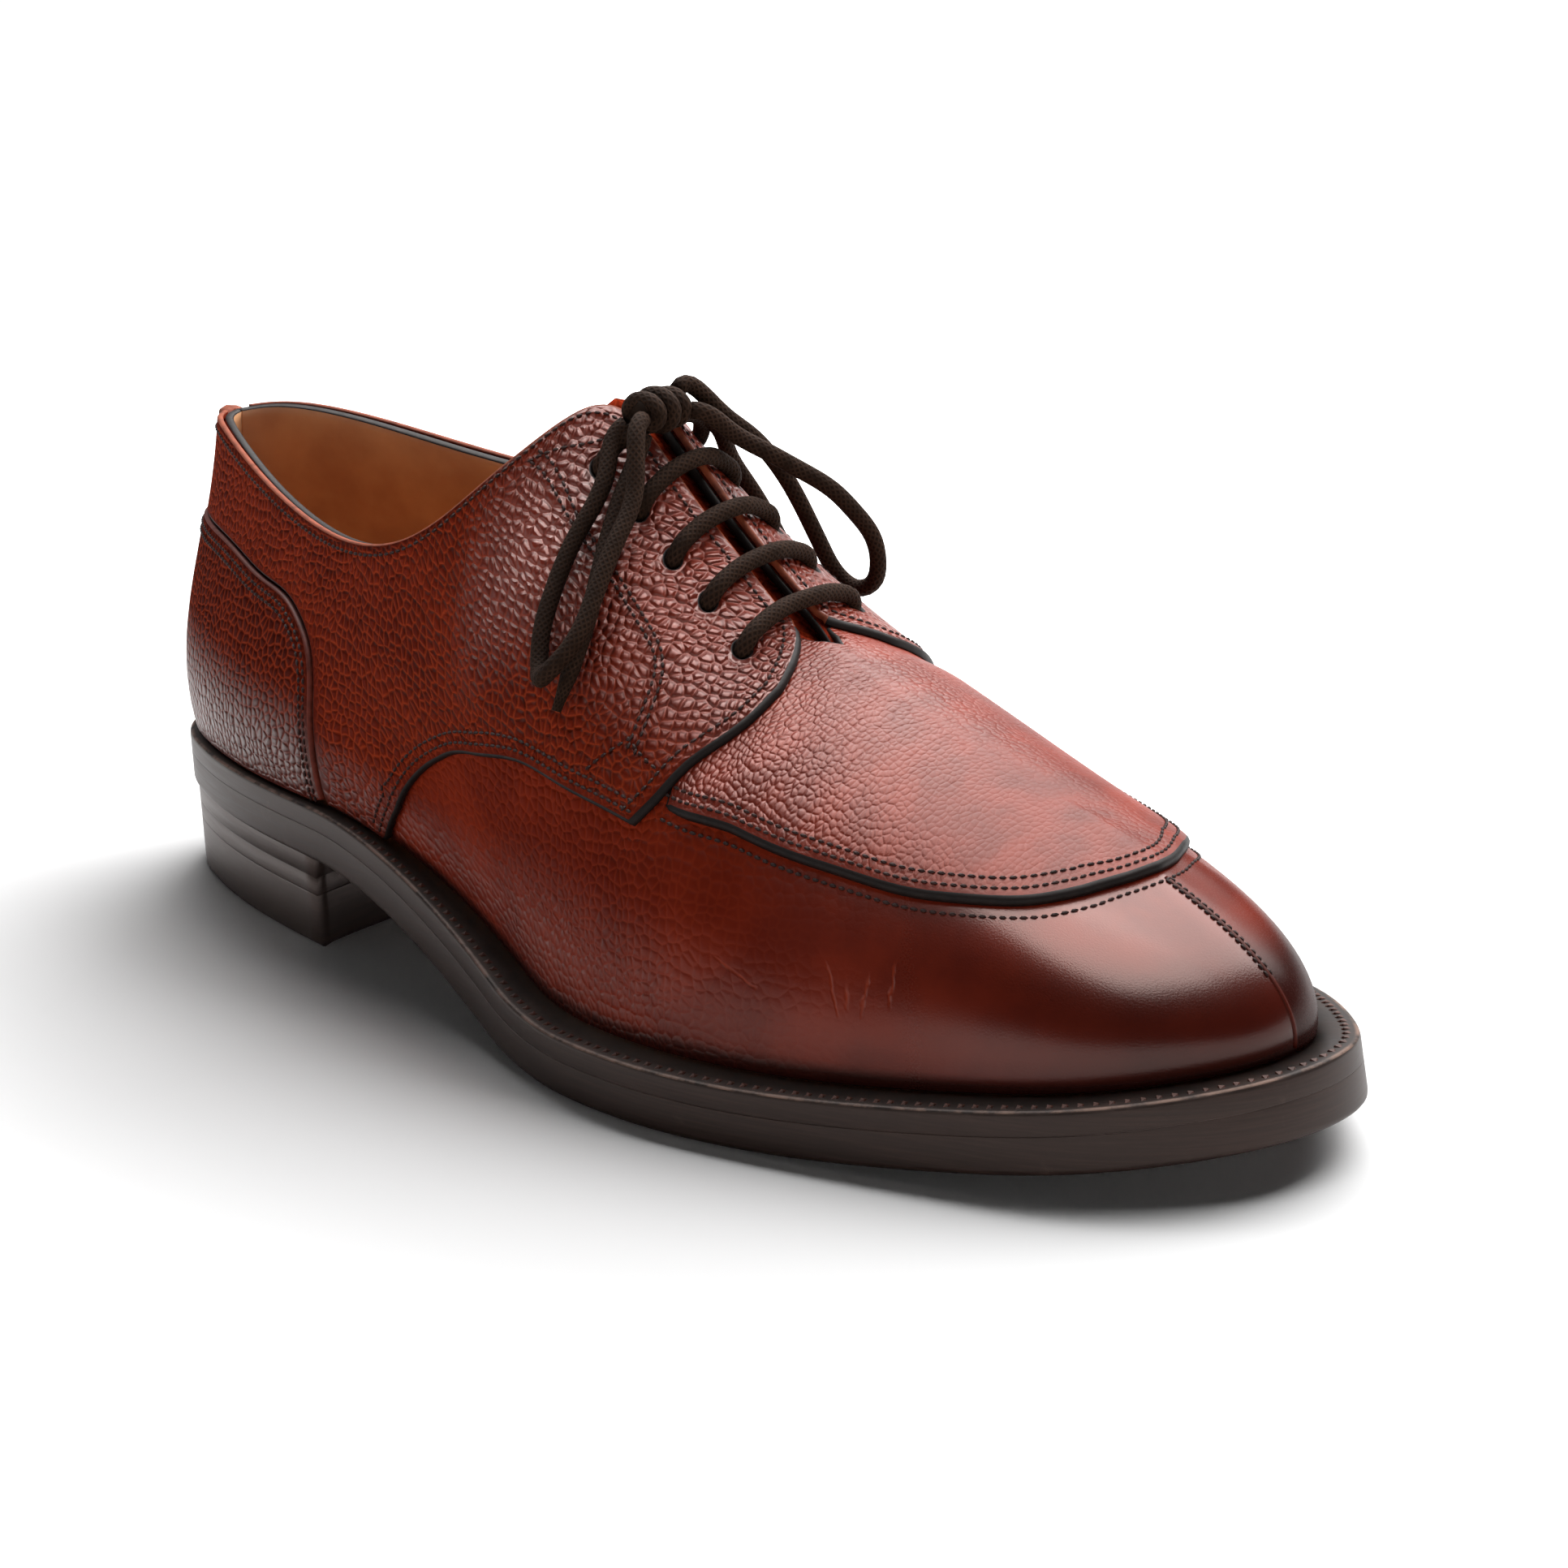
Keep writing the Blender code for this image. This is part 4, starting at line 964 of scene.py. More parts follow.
def crossing(row, t):
    """Path of a bar from inside the lateral eyelet to inside the medial one."""
    over = SKIN_GAP + PANEL + LACE + CLEARANCE
    half = ((t, INSIDE), (t + 0.002, 0.9), (t + 0.03, over - 0.35), (t + 0.06, over),
            (0.5*(t + 1.06), over + 0.2), (1.0, over + 0.1))
    left = np.vstack([skin(row, level, LATERAL, lift) for level, lift in half])
    right = np.vstack([skin(row, level, MEDIAL, lift) for level, lift in half[::-1]])
    return along(np.vstack((left, right)), 1.0)


for number, (row, t) in enumerate(EYELETS[1:], 1):
    points, faces, flat = tube(crossing(row, t), LACE)
    piece("lace_bar_%d" % number, points, faces, [CORD], flat=flat)


def first_strand(side):
    """Strand from the first eyelet up to the knot."""
    row, t = EYELETS[0]
    places = ((row, t, INSIDE), (row, t + 0.004, 1.4), (row + 0.08, t + 0.035, 4.0))
    goal = KNOT_CENTRE + np.array((0.5, 2.2*side, -1.6))
    return along(np.vstack((on_side(side, places), goal)), 0.9)


def winding(y, tilt, size, steps=40):
    """One turn of the lace round the knot."""
    turn = np.linspace(0.0, 2*np.pi, steps, endpoint=False)
    ring = np.column_stack((np.cos(turn)*size[0], y + tilt*np.cos(turn), np.sin(turn)*size[1]))
    return KNOT_CENTRE + ring


TURNS = ((-3.1, 0.5, (3.4, 2.4)), (0.1, 0.5, (3.9, 2.9)), (3.2, 0.6, (3.4, 2.4)))
CORE = np.array(((0.0, -4.6, 0.0), (0.0, 0.0, 0.2), (0.0, 4.6, 0.0)))
TURN_RADIUS, CORE_RADIUS = 1.65, 2.6
wraps = [tube(winding(*turn), TURN_RADIUS, closed=True) for turn in TURNS]
wraps.append(tube(KNOT_CENTRE + CORE, CORE_RADIUS))
points, faces, flat = joined(wraps + [tube(first_strand(side), LACE) for side in BOTH])
piece("lace_knot", points, faces, [CORD], flat=flat)
print("bars:", len(EYELETS) - 1, "knot faces:", len(faces))

# %% [markdown]
# ## Leather over the last
# A panel is cut flat, skived thin at its edge, folded or painted there, and sewn over the last. Here
# the flat outline, in the two numbers of the last, is filled with triangles that keep to its edge and
# to its holes. A regular grid alone would leave the edges stepped.

# %% Cutting a panel
PATCH = np.array((15.0, 80.0))
FINE_ROWS = np.linspace(0.0, LAST_ROW, 181)
FINE_LEVELS = np.linspace(0.0, 1.0, 45)
NO_EDGE = 99.0
CLEAR_OF_EDGE, LEAST_STEP = 0.9, 0.25


def run(table, spacing=1.3):
    """Smooth edge of a panel through (row, rib place) points, evenly spaced in millimetres."""
    return along(np.array(table)*PATCH, spacing)/PATCH


def inside(points, loop):
    """Even-odd test of points against a closed outline."""
    hit = np.zeros(len(points), bool)
    for a, b in zip(loop, np.roll(loop, -1, axis=0)):
        crosses = (a[1] > points[:, 1]) != (b[1] > points[:, 1])
        rise = b[1] - a[1] if b[1] != a[1] else 1.0
        hit ^= crosses & (points[:, 0] < a[0] + (points[:, 1] - a[1])*(b[0] - a[0])/rise)
    return hit


def near(points, loop):
    """Distance of points from a closed outline."""
    best = np.full(len(points), np.inf)
    for a, b in zip(loop, np.roll(loop, -1, axis=0)):
        span = b - a
        share = np.clip((points - a) @ span/max(span @ span, 1e-9), 0.0, 1.0)
        best = np.minimum(best, np.linalg.norm(points - a - share[:, None]*span, axis=1))
    return best


def cut_sheet(edges, holes=()):
    """Panel laid flat in (row, rib place): triangles over its outline, round its holes and on a fine grid."""
    outline = np.vstack(edges)
    step = np.linalg.norm((outline - np.roll(outline, 1, axis=0))*PATCH, axis=1)
    loops = [outline[step > LEAST_STEP]*PATCH] + [np.asarray(hole)*PATCH for hole in holes]
    grid = np.array([(row, t) for row in FINE_ROWS for t in FINE_LEVELS])*PATCH
    clear = inside(grid, loops[0])
    for loop in loops:
        clear &= near(grid, loop) > CLEAR_OF_EDGE
    for loop in loops[1:]:
        clear &= ~inside(grid, loop)
    points = np.vstack(loops + [grid[clear]])
    links = []
    start = 0
    for loop in loops:
        count = len(loop)
        links += [(start + k, start + (k + 1) % count) for k in range(count)]
        start += count
    laid, _, faces, *_ = delaunay_2d_cdt([Vector(p) for p in points], links, [], 1, 1e-5)
    laid = np.array([tuple(p) for p in laid])
    middle = np.array([laid[list(face)].mean(axis=0) for face in faces])
    good = inside(middle, loops[0])
    for loop in loops[1:]:
        good &= ~inside(middle, loop)
    gap = np.min([near(laid, loop) for loop in loops], axis=0)
    return laid/PATCH, [tuple(face) for face, ok in zip(faces, good) if ok], gap


def grid_sheet(rows, levels):
    """Regular sheet over a range of rows and levels."""
    places = np.array([(row, t) for row in rows for t in levels])
    count = len(levels)
    faces = [(i*count + j, (i + 1)*count + j, (i + 1)*count + j + 1, i*count + j + 1)
             for i in range(len(rows) - 1) for j in range(count - 1)]
    return places, faces, np.full(len(places), NO_EDGE)


print("grid for cutting:", len(FINE_ROWS), "by", len(FINE_LEVELS))

# %% [markdown]
# To last a panel, its flat sheet is lifted off the last by the leather's thickness, and the border is
# rolled over through a few rings down to the piece below. The two halves of a panel are welded along
# the seam they share, so that it is one closed piece. The back is the same sheet turned over.

# %% Welding and closing a sheet
FACE, RIM, BACK = 0, 1, 2


def gather(sheets):
    """Rows, rib places, sides, gaps and corners of (side, places, faces, gap) sheets, one list each."""
    row, t, side, gap, corners, start = [], [], [], [], [], 0
    for sign, places, faces, clear in sheets:
        row.append(places[:, 0])
        t.append(places[:, 1])
        side.append(np.full(len(places), sign))
        gap.append(clear)
        order = 1 if sign == LATERAL else -1
        corners += [tuple(start + v for v in face[::order]) for face in faces]
        start += len(places)
    return *(np.concatenate(parts) for parts in (row, t, side, gap)), corners


def weld_sheets(base, corners):
    """Faces with the points of a shared seam made one, and the same faces on each sheet's own points."""
    first = {}
    weld = [first.setdefault(tuple(np.round(p, 3)), i) for i, p in enumerate(base)]
    sheet, kept = [], []
    for face in corners:
        ring = [(weld[v], v) for v in face]
        ring = [pair for k, pair in enumerate(ring) if pair[0] != ring[k - 1][0]]
        if len({pair[0] for pair in ring}) > 2:
            sheet.append([pair[0] for pair in ring])
            kept.append([pair[1] for pair in ring])
    return sheet, kept


def open_border(sheet):
    """The next point along the open border, for each point on it."""
    edges = {(a, b) for ring in sheet for a, b in zip(ring, ring[1:] + ring[:1])}
    return {a: b for a, b in edges if (b, a) not in edges}


def rim_rings(base, normal, high, ahead, rim, flare):
    """Rings of the rolled border, from the face to the back."""
    border = sorted(ahead)
    behind = {b: a for a, b in ahead.items()}
    inward = np.cross(normal[border], base[[ahead[v] for v in border]] - base[[behind[v] for v in border]])
    inward /= np.linalg.norm(inward, axis=1)[:, None]
    rings = []
    for k, (inset, drop) in enumerate(rim):
        aside = inset - flare*k/(len(rim) - 1)
        rings.append(base[border] + inward*aside[:, None] + normal[border]*(high[border] + drop))
    return rings


def close_sheet(sheet, kept, ahead, layers, coat, laid):
    """Faces, material numbers and UV places of the face, the rim and the back."""
    number = {v: i for i, v in enumerate(layers[0])}
    faces = [tuple(ring) for ring in sheet]
    kinds = [FACE]*len(sheet)
    places = [laid[v] for ring in kept for v in ring]
    for upper, lower in zip(layers, layers[1:]):
        for a, b in ahead.items():
            i, j = number[a], number[b]
            faces.append((upper[j], upper[i], lower[i], lower[j]))
            kinds.append(coat[i])
            places += [laid[b], laid[a], laid[a], laid[b]]
    for ring, own in zip(sheet, kept):
        faces.append(tuple(v + len(laid) for v in reversed(ring)))
        kinds.append(BACK)
        places += [laid[v] for v in reversed(own)]
    return faces, kinds, places


print("materials of a panel:", {"face": FACE, "rim": RIM, "back": BACK})

# %% [markdown]
# The last step puts these together. The lift and the looks are functions of the place on the last, so a
# panel can sink under its neighbour and change its polish on the way. The style says how far the rim
# flares at its foot and which material it takes.

# %% Lasting a panel
def plain_rim(row, t):
    """Upright rim in its own material."""
    return np.zeros(len(row)), np.full(len(row), RIM)


def last_over(name, sheets, lift, back, rim, materials, looks, flat=flat_place, style=plain_rim):
    """Closed leather piece over the last; rim holds (inset, drop) rings from the face to the back."""
    row, t, side, gap, corners = gather(sheets)
    start = len(row)
    base, normal, laid, high = (np.zeros((start, n)) for n in (3, 3, 2, 1))
    stored = {}
    for sign in BOTH:
        own = side == sign
        if own.any():
            base[own] = upper_point(row[own], t[own], sign)
            normal[own] = face_normal(row[own], t[own], sign)
            laid[own] = flat(row[own], t[own], sign)/MM_PER_UV
            high[own, 0] = lift(row[own], t[own], sign)
            for key, numbers in looks(row[own], t[own], sign, gap[own]).items():
                stored.setdefault(key, np.zeros(start))[own] = numbers
    sheet, kept = weld_sheets(base, corners)
    ahead = open_border(sheet)
    border = np.array(sorted(ahead))
    flare, coat = style(row[border], t[border])
    rings = rim_rings(base, normal, high, ahead, rim, flare)
    outer = base + normal*high
    inner = base + normal*back
    outer[border] = rings[0]
    inner[border] = rings[-1]
    points = np.vstack([outer, inner] + rings[1:-1])
    layers = [2*start + k*len(border) + np.arange(len(border)) for k in range(len(rings) - 2)]
    layers = [border, *layers, start + border]
    faces, kinds, places = close_sheet(sheet, kept, ahead, layers, coat, laid)
    used = np.zeros(len(points), bool)
    used[np.concatenate([np.array(face) for face in faces])] = True
    place = np.cumsum(used) - 1
    faces = [tuple(place[list(face)]) for face in faces]
    values = {key: np.concatenate((numbers, numbers, np.tile(numbers[border], len(rings) - 2)))[used]
              for key, numbers in stored.items()}
    made = piece(name, points[used], faces, materials, kinds, places, values)
    print(name, len(made.data.polygons), "faces")
    return made


def even(lift):
    """The same lift everywhere."""
    return lambda row, t, side: np.full(len(row), lift)


print("leather thickness over the last:", WALL, "mm for the wall,", PANEL, "mm for a panel")

# %% [markdown]
# ## Upper
# Under the panels lies the vamp, one wall of leather and lining round the foot. It shows as the side
# walls and the toe, and inside the collar as the tan lining. Polish has been rubbed into the toe and
# just above the welt, where the grain has been stretched and ironed flat. Right at the welt, where the
# upper turns under, a narrow strip is painted dark as shade, and the medial half of the toe is painted
# darker as shade too. A few fine folds mark where the foot bends.

# %% Upper
def vamp_looks(row, t, side, gap):
    """Grain fades and polish gathers towards the toe and the welt; painted shade darkens the strip right at
    the welt and the medial half of the toe.
    """
    toe = smooth((row - 11.5)/4.5)
    hem = 1.0 - smooth(t/0.16)
    tip = smooth((row - 14.6)/3.4)
    low = 1.0 - smooth((t - 0.32)/0.25)
    # Painted shade: a dark strip right at the welt, where the upper turns under.
    seat = 1.0 - smooth((t - 0.01)/0.045)
    # Painted shade: the medial half of the toe is darker, as it is turned away from the light.
    inner = 0.2*tip if side == MEDIAL else 0.0
    burnish = 0.22 + 0.14*hem + tip*(0.66*low - 0.12) + 0.9*seat + inner
    gloss = np.maximum(0.05 + 0.6*(1.0 - smooth((t - 0.10)/0.22)), 0.85*smooth((row - 13.6)/3.0))
    return {"grain": 0.40*(1.0 - toe)*(1.0 - 0.5*hem), "burnish": np.clip(burnish, 0.0, 0.97),
            "gloss": gloss*(0.4 if side == MEDIAL else 1.0),
            "shine": smooth((row - 13.8)/3.0)}


LEVELS_UP = np.linspace(0.0, 1.0, 37)
WALL_FOLDS = (((13.90, 0.228), (14.16, 0.206)), ((14.12, 0.210), (14.38, 0.182)),
              ((14.97, 0.275), (15.10, 0.155)), ((15.16, 0.235), (15.17, 0.175)),
              ((15.36, 0.270), (15.28, 0.165)), ((15.61, 0.315), (15.53, 0.200)))
WALL_RIM = ((0.35, 0.0), (0.05, -0.3), (0.0, -0.9), (0.05, -1.5), (0.35, -WALL))


def laid_flat(place):
    """UV place of a (row, rib place) pair on the lateral side."""
    return tuple(flat_place(np.array(place[:1]), np.array(place[1:]), LATERAL)[0]/MM_PER_UV)


def both_sides(sheet):
    """The same flat sheet on the lateral and the medial side."""
    return [(side, *sheet) for side in BOTH]


folds = [(laid_flat(first), laid_flat(second)) for first, second in WALL_FOLDS]
VAMP = leather("oxblood vamp leather", *DYE, folds)
last_over("upper", both_sides(grid_sheet(FINE_ROWS, LEVELS_UP)), even(0.0), -WALL, WALL_RIM,
          [VAMP, PAINTED_EDGE, LINING], vamp_looks)

# %% [markdown]
# ## Quarters, counter and apron
# The quarters carry the eyelets and close over the tongue; that is what makes it a derby. The counter
# is a second layer round the heel, and the apron is the top of the forepart. Each edge is a line on the
# last through a few places, a row and a place up the rib, so two panels that meet can share it.

# %% Edges of the panels
COUNTER_TOP = ((0.0, 0.72), (2.4, 0.725), (3.45, 0.74), (4.03, 0.735), (4.45, 0.73), (4.67, 0.695),
               (4.85, 0.64), (4.98, 0.555), (5.05, 0.385), (5.08, 0.225), (5.10, 0.03))
VAMP_SEAM = ((5.78, 0.03), (5.95, 0.16), (6.35, 0.33), (6.8, 0.415), (7.3, 0.45), (8.45, 0.43), (9.98, 0.405),
             (11.5, 0.415), (12.1, 0.417))
FACING = ((12.15, 0.42), (12.53, 0.485), (12.88, 0.565), (13.33, 0.645), (13.7, 0.72), (13.88, 0.79))
CORNER = ((13.05, 1.0), (13.33, 0.975), (13.6, 0.93), (13.8, 0.87), (13.88, 0.81))
APRON_EDGE = ((12.66, 0.48), (13.78, 0.475), (14.48, 0.465), (15.08, 0.47), (15.68, 0.48), (16.32, 0.515),
              (16.88, 0.56), (17.8, 0.665), (19.0, 0.735), (20.0, 0.74))
HEM, STRIP_HALF, COUNTER = 0.012, 2.5, 1.8
EYELET, EYELET_SIDES = 1.9, 20


def straight(rows, t):
    """Edge along a fixed rib place."""
    return np.column_stack((rows, np.full(len(rows), t)))


def upright(row, levels):
    """Edge along one rib."""
    return np.column_stack((np.full(len(levels), row), levels))


def steps_of(row, t):
    """Millimetres on the last per unit of row and of rib place."""
    reach = 0.01
    row = np.minimum(np.atleast_1d(row).astype(float), LAST_ROW - reach)
    t = np.atleast_1d(t).astype(float)
    here = upper_point(row, t, LATERAL)
    wide = np.linalg.norm(upper_point(row + reach, t, LATERAL) - here, axis=1)/reach
    tall = np.linalg.norm(upper_point(row, t + reach, LATERAL) - here, axis=1)/reach
    return wide, tall


def eyelet_ring(row, t):
    """Round eyelet laid flat."""
    turn = np.linspace(0.0, 2*np.pi, EYELET_SIDES, endpoint=False)
    wide, tall = steps_of(row, t)
    return np.column_stack((row + np.cos(turn)*EYELET/wide, t + np.sin(turn)*EYELET/tall))


def beside_seam(row, t, width):
    """Rows that lie a width to the side of the back or toe seam."""
    reach = 0.02
    t = np.asarray(t, float)
    inner = row + reach if row < 1.0 else row - reach
    seam = upper_point(np.full(len(t), row), t, LATERAL)
    step = np.linalg.norm(upper_point(np.full(len(t), inner), t, LATERAL) - seam, axis=1)
    return row + (inner - row)*width/step


print("eyelets:", 2*len(EYELETS))

# %% [markdown]
# A quarter runs from the back seam over the ankle to the facing with its five eyelets. Its grain is
# strong, but pressed flat along the cut edges, and the facing is waxed. The facing's edge is painted
# black and flares a little at its foot; the top line is left raw. One flat sheet serves both sides of
# the shoe.

# %% Quarters
RAW_EDGE = 3
ROUND_EYELET = 4.0
FACING_ROW, VAMP_TOP, TOP_LINE = 12.1, 0.46, 0.985
FACING_FLARE, SEAM_FLARE = 0.9, 0.35


def quarter_looks(row, t, side, gap):
    """Strong grain, smooth along the cut edges; the facing is waxed and the hem near the welt polished."""
    facing = smooth((row - 7.2)/2.2)*smooth((t - 0.5)/0.25)
    hem = 1.0 - smooth((t - 0.10)/0.25)
    return {"grain": smooth((gap + 0.6)/3.0)*(1.15 - 0.15*facing),
            "gloss": np.clip(0.05 + 0.9*facing + 0.6*hem, 0.0, 1.0),
            "burnish": 0.34 - 0.2*facing + 0.18*(1.0 - smooth(t/0.35)) + 0.25*(1.0 - smooth(gap/1.6))}


def quarter_style(row, t):
    """Flared black foot along the facing, a thin one along the vamp seam, raw edge along the top line."""
    place = np.column_stack((row, t))
    gaps = [np.linalg.norm((place - eyelet)*PATCH, axis=1) for eyelet in np.array(EYELETS)]
    hole = np.min(gaps, axis=0) < ROUND_EYELET
    facing = (row > FACING_ROW) & (t < TOP_LINE) & ~hole
    flare = np.where(facing, FACING_FLARE, np.where((t < VAMP_TOP) & ~hole, SEAM_FLARE, 0.0))
    return flare, np.where(t > TOP_LINE, RAW_EDGE, RIM)


def quarter_sheet():
    """Outline of a quarter: counter, hem, vamp seam, facing, top line and back seam."""
    rear = run(COUNTER_TOP) + np.array((0.022, 0.008))
    levels = np.linspace(1.0, rear[0, 1], 16)
    back = np.column_stack((beside_seam(0.0, levels, STRIP_HALF + 0.4), levels))
    rear = rear[rear[:, 0] > back[-1, 0] + 0.05]
    rows = FINE_ROWS[(FINE_ROWS > back[0, 0] + 0.05) & (FINE_ROWS < CORNER[0][0])]
    hem = straight(np.linspace(5.14, 5.74, 7), HEM)
    edges = (rear[:-1], hem, run(VAMP_SEAM), run(FACING), run(CORNER[::-1]), straight(rows, 1.0)[::-1], back)
    return cut_sheet(edges, [eyelet_ring(row, t) for row, t in EYELETS])


ROLLED = ((0.45, 0.0), (0.12, -0.18), (0.0, -0.55), (0.0, -1.1), (0.25, -PANEL))
ON_QUARTER = SKIN_GAP + PANEL
SIDE_NAMES = ("lateral", "medial")
for side_name, half in zip(SIDE_NAMES, both_sides(quarter_sheet())):
    last_over("quarter_" + side_name, [half], even(ON_QUARTER), SKIN_GAP, ROLLED,
              [HIDE, PAINTED_EDGE, HIDE, RUST_EDGE], quarter_looks, style=quarter_style)

# %% [markdown]
# The counter is a second layer that stiffens the heel. It is thicker than the quarters, so it stands a
# little proud of them, and it is darkened all over and waxed low down, where polish gathers. Its halves
# are welded at the back.

# %% Counter
SEAM_CLEAR = 9.0


def counter_looks(row, t, side, gap):
    """Full grain, polished low at the heel."""
    edge = np.where(row < 0.1, SEAM_CLEAR, gap)
    low = 1.0 - smooth((t - 0.12)/0.34)
    return {"grain": 0.9*smooth((edge + 0.6)/3.0), "burnish": 0.72 + 0.04*low, "gloss": 0.04 + 0.96*low}


def counter_sheet():
    """Outline of one side of the counter."""
    top = run(COUNTER_TOP)
    levels = np.linspace(HEM, top[0, 1], 40)[1:-1]
    hem = straight(np.arange(0.0, 5.05, 0.1), HEM)
    return cut_sheet((hem, top[::-1], upright(0.0, levels[::-1])))


COUNTER_EDGE = ((0.5, 0.0), (0.14, -0.2), (0.0, -0.7), (0.0, -1.5), (0.25, -COUNTER))
ON_COUNTER = SKIN_GAP + COUNTER
last_over("counter", both_sides(counter_sheet()), even(ON_COUNTER), SKIN_GAP, COUNTER_EDGE,
          [HIDE, WORN_EDGE, HIDE], counter_looks)

# %% [markdown]
# The apron is laid over the top of the forepart and sewn down round its edge, which stands up as a
# thick black roll. Beside the facing it has to slip underneath, so its lift falls there. Its UV runs
# out from the centre line.

# %% Apron
FREE_FROM, FREE_BELOW, APRON_FLARE = 12.7, 0.76, 0.8
TUCK_START, TUCK_RUN, TUCKED = 0.8, 9.0, 0.1


def apron_looks(row, t, side, gap):
    """Fine grain over the instep, smoother towards the toe."""
    edge = np.where((t > 0.98) | (row > 19.9), SEAM_CLEAR, gap)
    toe = smooth((upper_point(row, t, side)[:, 0] - 195.0)/55.0)
    return {"grain": (0.32 - 0.22*toe)*smooth((edge + 0.4)/4.0), "gloss": 0.72 - 0.22*toe,
            "burnish": 0.06*toe + 0.2*(1.0 - smooth(edge/1.6))}


TIP = np.vstack((run(FACING), run(CORNER[::-1])))


def apron_lift(row, t, side):
    """The apron runs down under the facing's edge."""
    place = np.column_stack((row, t))*PATCH
    gap = np.min(np.linalg.norm(place[:, None, :] - TIP[None]*PATCH, axis=2), axis=1)
    return SKIN_GAP - TUCKED + (PANEL + TUCKED)*smooth((gap - TUCK_START)/TUCK_RUN)


def apron_style(row, t):
    """Flared black foot round the free edge only."""
    free = (t < FREE_BELOW) & (row > FREE_FROM)
    return np.where(free, APRON_FLARE, 0.0), np.full(len(row), RIM)


def apron_sheet():
    """Outline of one half of the apron, from its wing beside the facing round to the toe seam."""
    edge = run(APRON_EDGE)
    front = np.linspace(edge[-1, 1], 1.0, 24)[1:-1]
    ridge = straight(FINE_ROWS[FINE_ROWS > THROAT_ROW], 1.0)[::-1]
    beside = run(FACING)[::-1] + np.array((-0.06, 0.016))
    beside = beside[beside[:, 0] > edge[0, 0]]
    corner = run(CORNER) - np.array((0.08, 0.0))
    corner = corner[corner[:, 1] < 0.97]
    throat = straight(np.linspace(THROAT_ROW - 0.06, corner[0, 0] + 0.06, 12), 0.985)
    return cut_sheet((edge, upright(LAST_ROW, front), ridge, throat, corner[:-1], beside))


APRON_ROLL = ((0.6, 0.0), (0.25, -0.08), (0.0, -0.4), (0.0, -0.9), (0.1, -PANEL - 0.2))
last_over("apron", both_sides(apron_sheet()), apron_lift, SKIN_GAP - 0.6, APRON_ROLL,
          [HIDE, PAINTED_EDGE, HIDE], apron_looks, crown_place, apron_style)

# %% [markdown]
# ## Seam strips and tongue
# A narrow strip covers the back seam and ends in a small point above the collar. The toe's two halves
# meet in a low sewn ridge. Both are a grid of points across the seam with a rounded face, a flat back
# and a closed border.

# %% Seam strips
STRIP, TOE_HALF = 1.4, 0.55
POINT_START = 0.955


def sheet_shell(outer, inner, columns, count):
    """Points and outward faces of a closed strip between two grids of points, stored column by column."""
    size = columns*count
    faces = []
    for i in range(columns - 1):
        for j in range(count - 1):
            a = i*count + j
            ring = (a, a + count, a + count + 1, a + 1)
            faces.append(ring)
            faces.append(tuple(v + size for v in ring[::-1]))
    border = [i*count for i in range(columns)] + [(columns - 1)*count + j for j in range(1, count)]
    border += [i*count + count - 1 for i in range(columns - 2, -1, -1)] + list(range(count - 2, 0, -1))
    for a, b in zip(border, border[1:] + border[:1]):
        faces.append((b, a, a + size, b + size))
    return np.vstack((outer, inner)), faces


def evenly(count, values):
    """The same stored values on every point."""
    return {key: np.full(count, value) for key, value in values.items()}


def seam_strip(name, row, t, width, low, high, materials, values, tip=0.0):
    """Rounded strip along a seam; its upper end leans out by the tip and takes the second material."""
    outer, inner = [], []
    across = np.linspace(-1.0, 1.0, 9)
    lean = tip*smooth((t - 0.95)/0.05)
    for place in across:
        side = LATERAL if place <= 0 else MEDIAL
        rows = beside_seam(row, t, width*abs(place))
        levels = np.minimum(t, 1.0 - 0.02*abs(place)*(tip > 0.0))
        round_off = 1.0 - abs(place)**4
        outer.append(skin(rows, levels, side, low + lean + (high + 0.3 - low)*(0.25 + 0.75*round_off)))
        inner.append(skin(rows, levels, side, low))
    points, faces = sheet_shell(np.vstack(outer), np.vstack(inner), len(across), len(t))
    faces = outward(points, faces)
    length = np.tile(chords(outer[4])/MM_PER_UV, 2*len(across))
    width_at = np.tile(np.repeat(across*width/MM_PER_UV, len(t)), 2)
    level_at = np.tile(t, 2*len(across))
    flat = [(width_at[v], length[v]) for face in faces for v in face]
    kinds = [int(tip > 0.0 and level_at[list(face)].min() > POINT_START) for face in faces]
    return piece(name, points, faces, materials, kinds, flat, evenly(len(points), values))


seam_strip("back_strip", 0.0, np.linspace(0.745, 1.0, 40), width=STRIP_HALF, low=SKIN_GAP,
           high=SKIN_GAP + STRIP, materials=[DARK_HIDE, RUST_EDGE],
           values={"grain": 0.4, "burnish": 0.3, "gloss": 0.0}, tip=1.4)
seam_strip("toe_seam", LAST_ROW, np.linspace(0.03, 0.715, 48), width=TOE_HALF, low=-0.5, high=-0.05,
           materials=[HIDE], values={"grain": 0.0, "burnish": 0.75, "gloss": 0.3})
print("strips:", 2*STRIP_HALF, "mm wide at the back,", 2*TOE_HALF, "mm at the toe")

# %% [markdown]
# The tongue is a lined strip under the lacing. It follows the last below the wall, and its rounded head
# stands a little above the facings. The last has no ribs there, so the head is the first rib moved on,
# narrowed and sunk.

# %% Tongue
TONGUE = 2.2
TONGUE_HEAD = ((4.0, 0.86, 0.6), (8.0, 0.68, 1.6))
TONGUE_ROWS = np.linspace(9.8, 14.6, 40)
TONGUE_SPREAD = np.linspace(0.78, 0.97, 8)


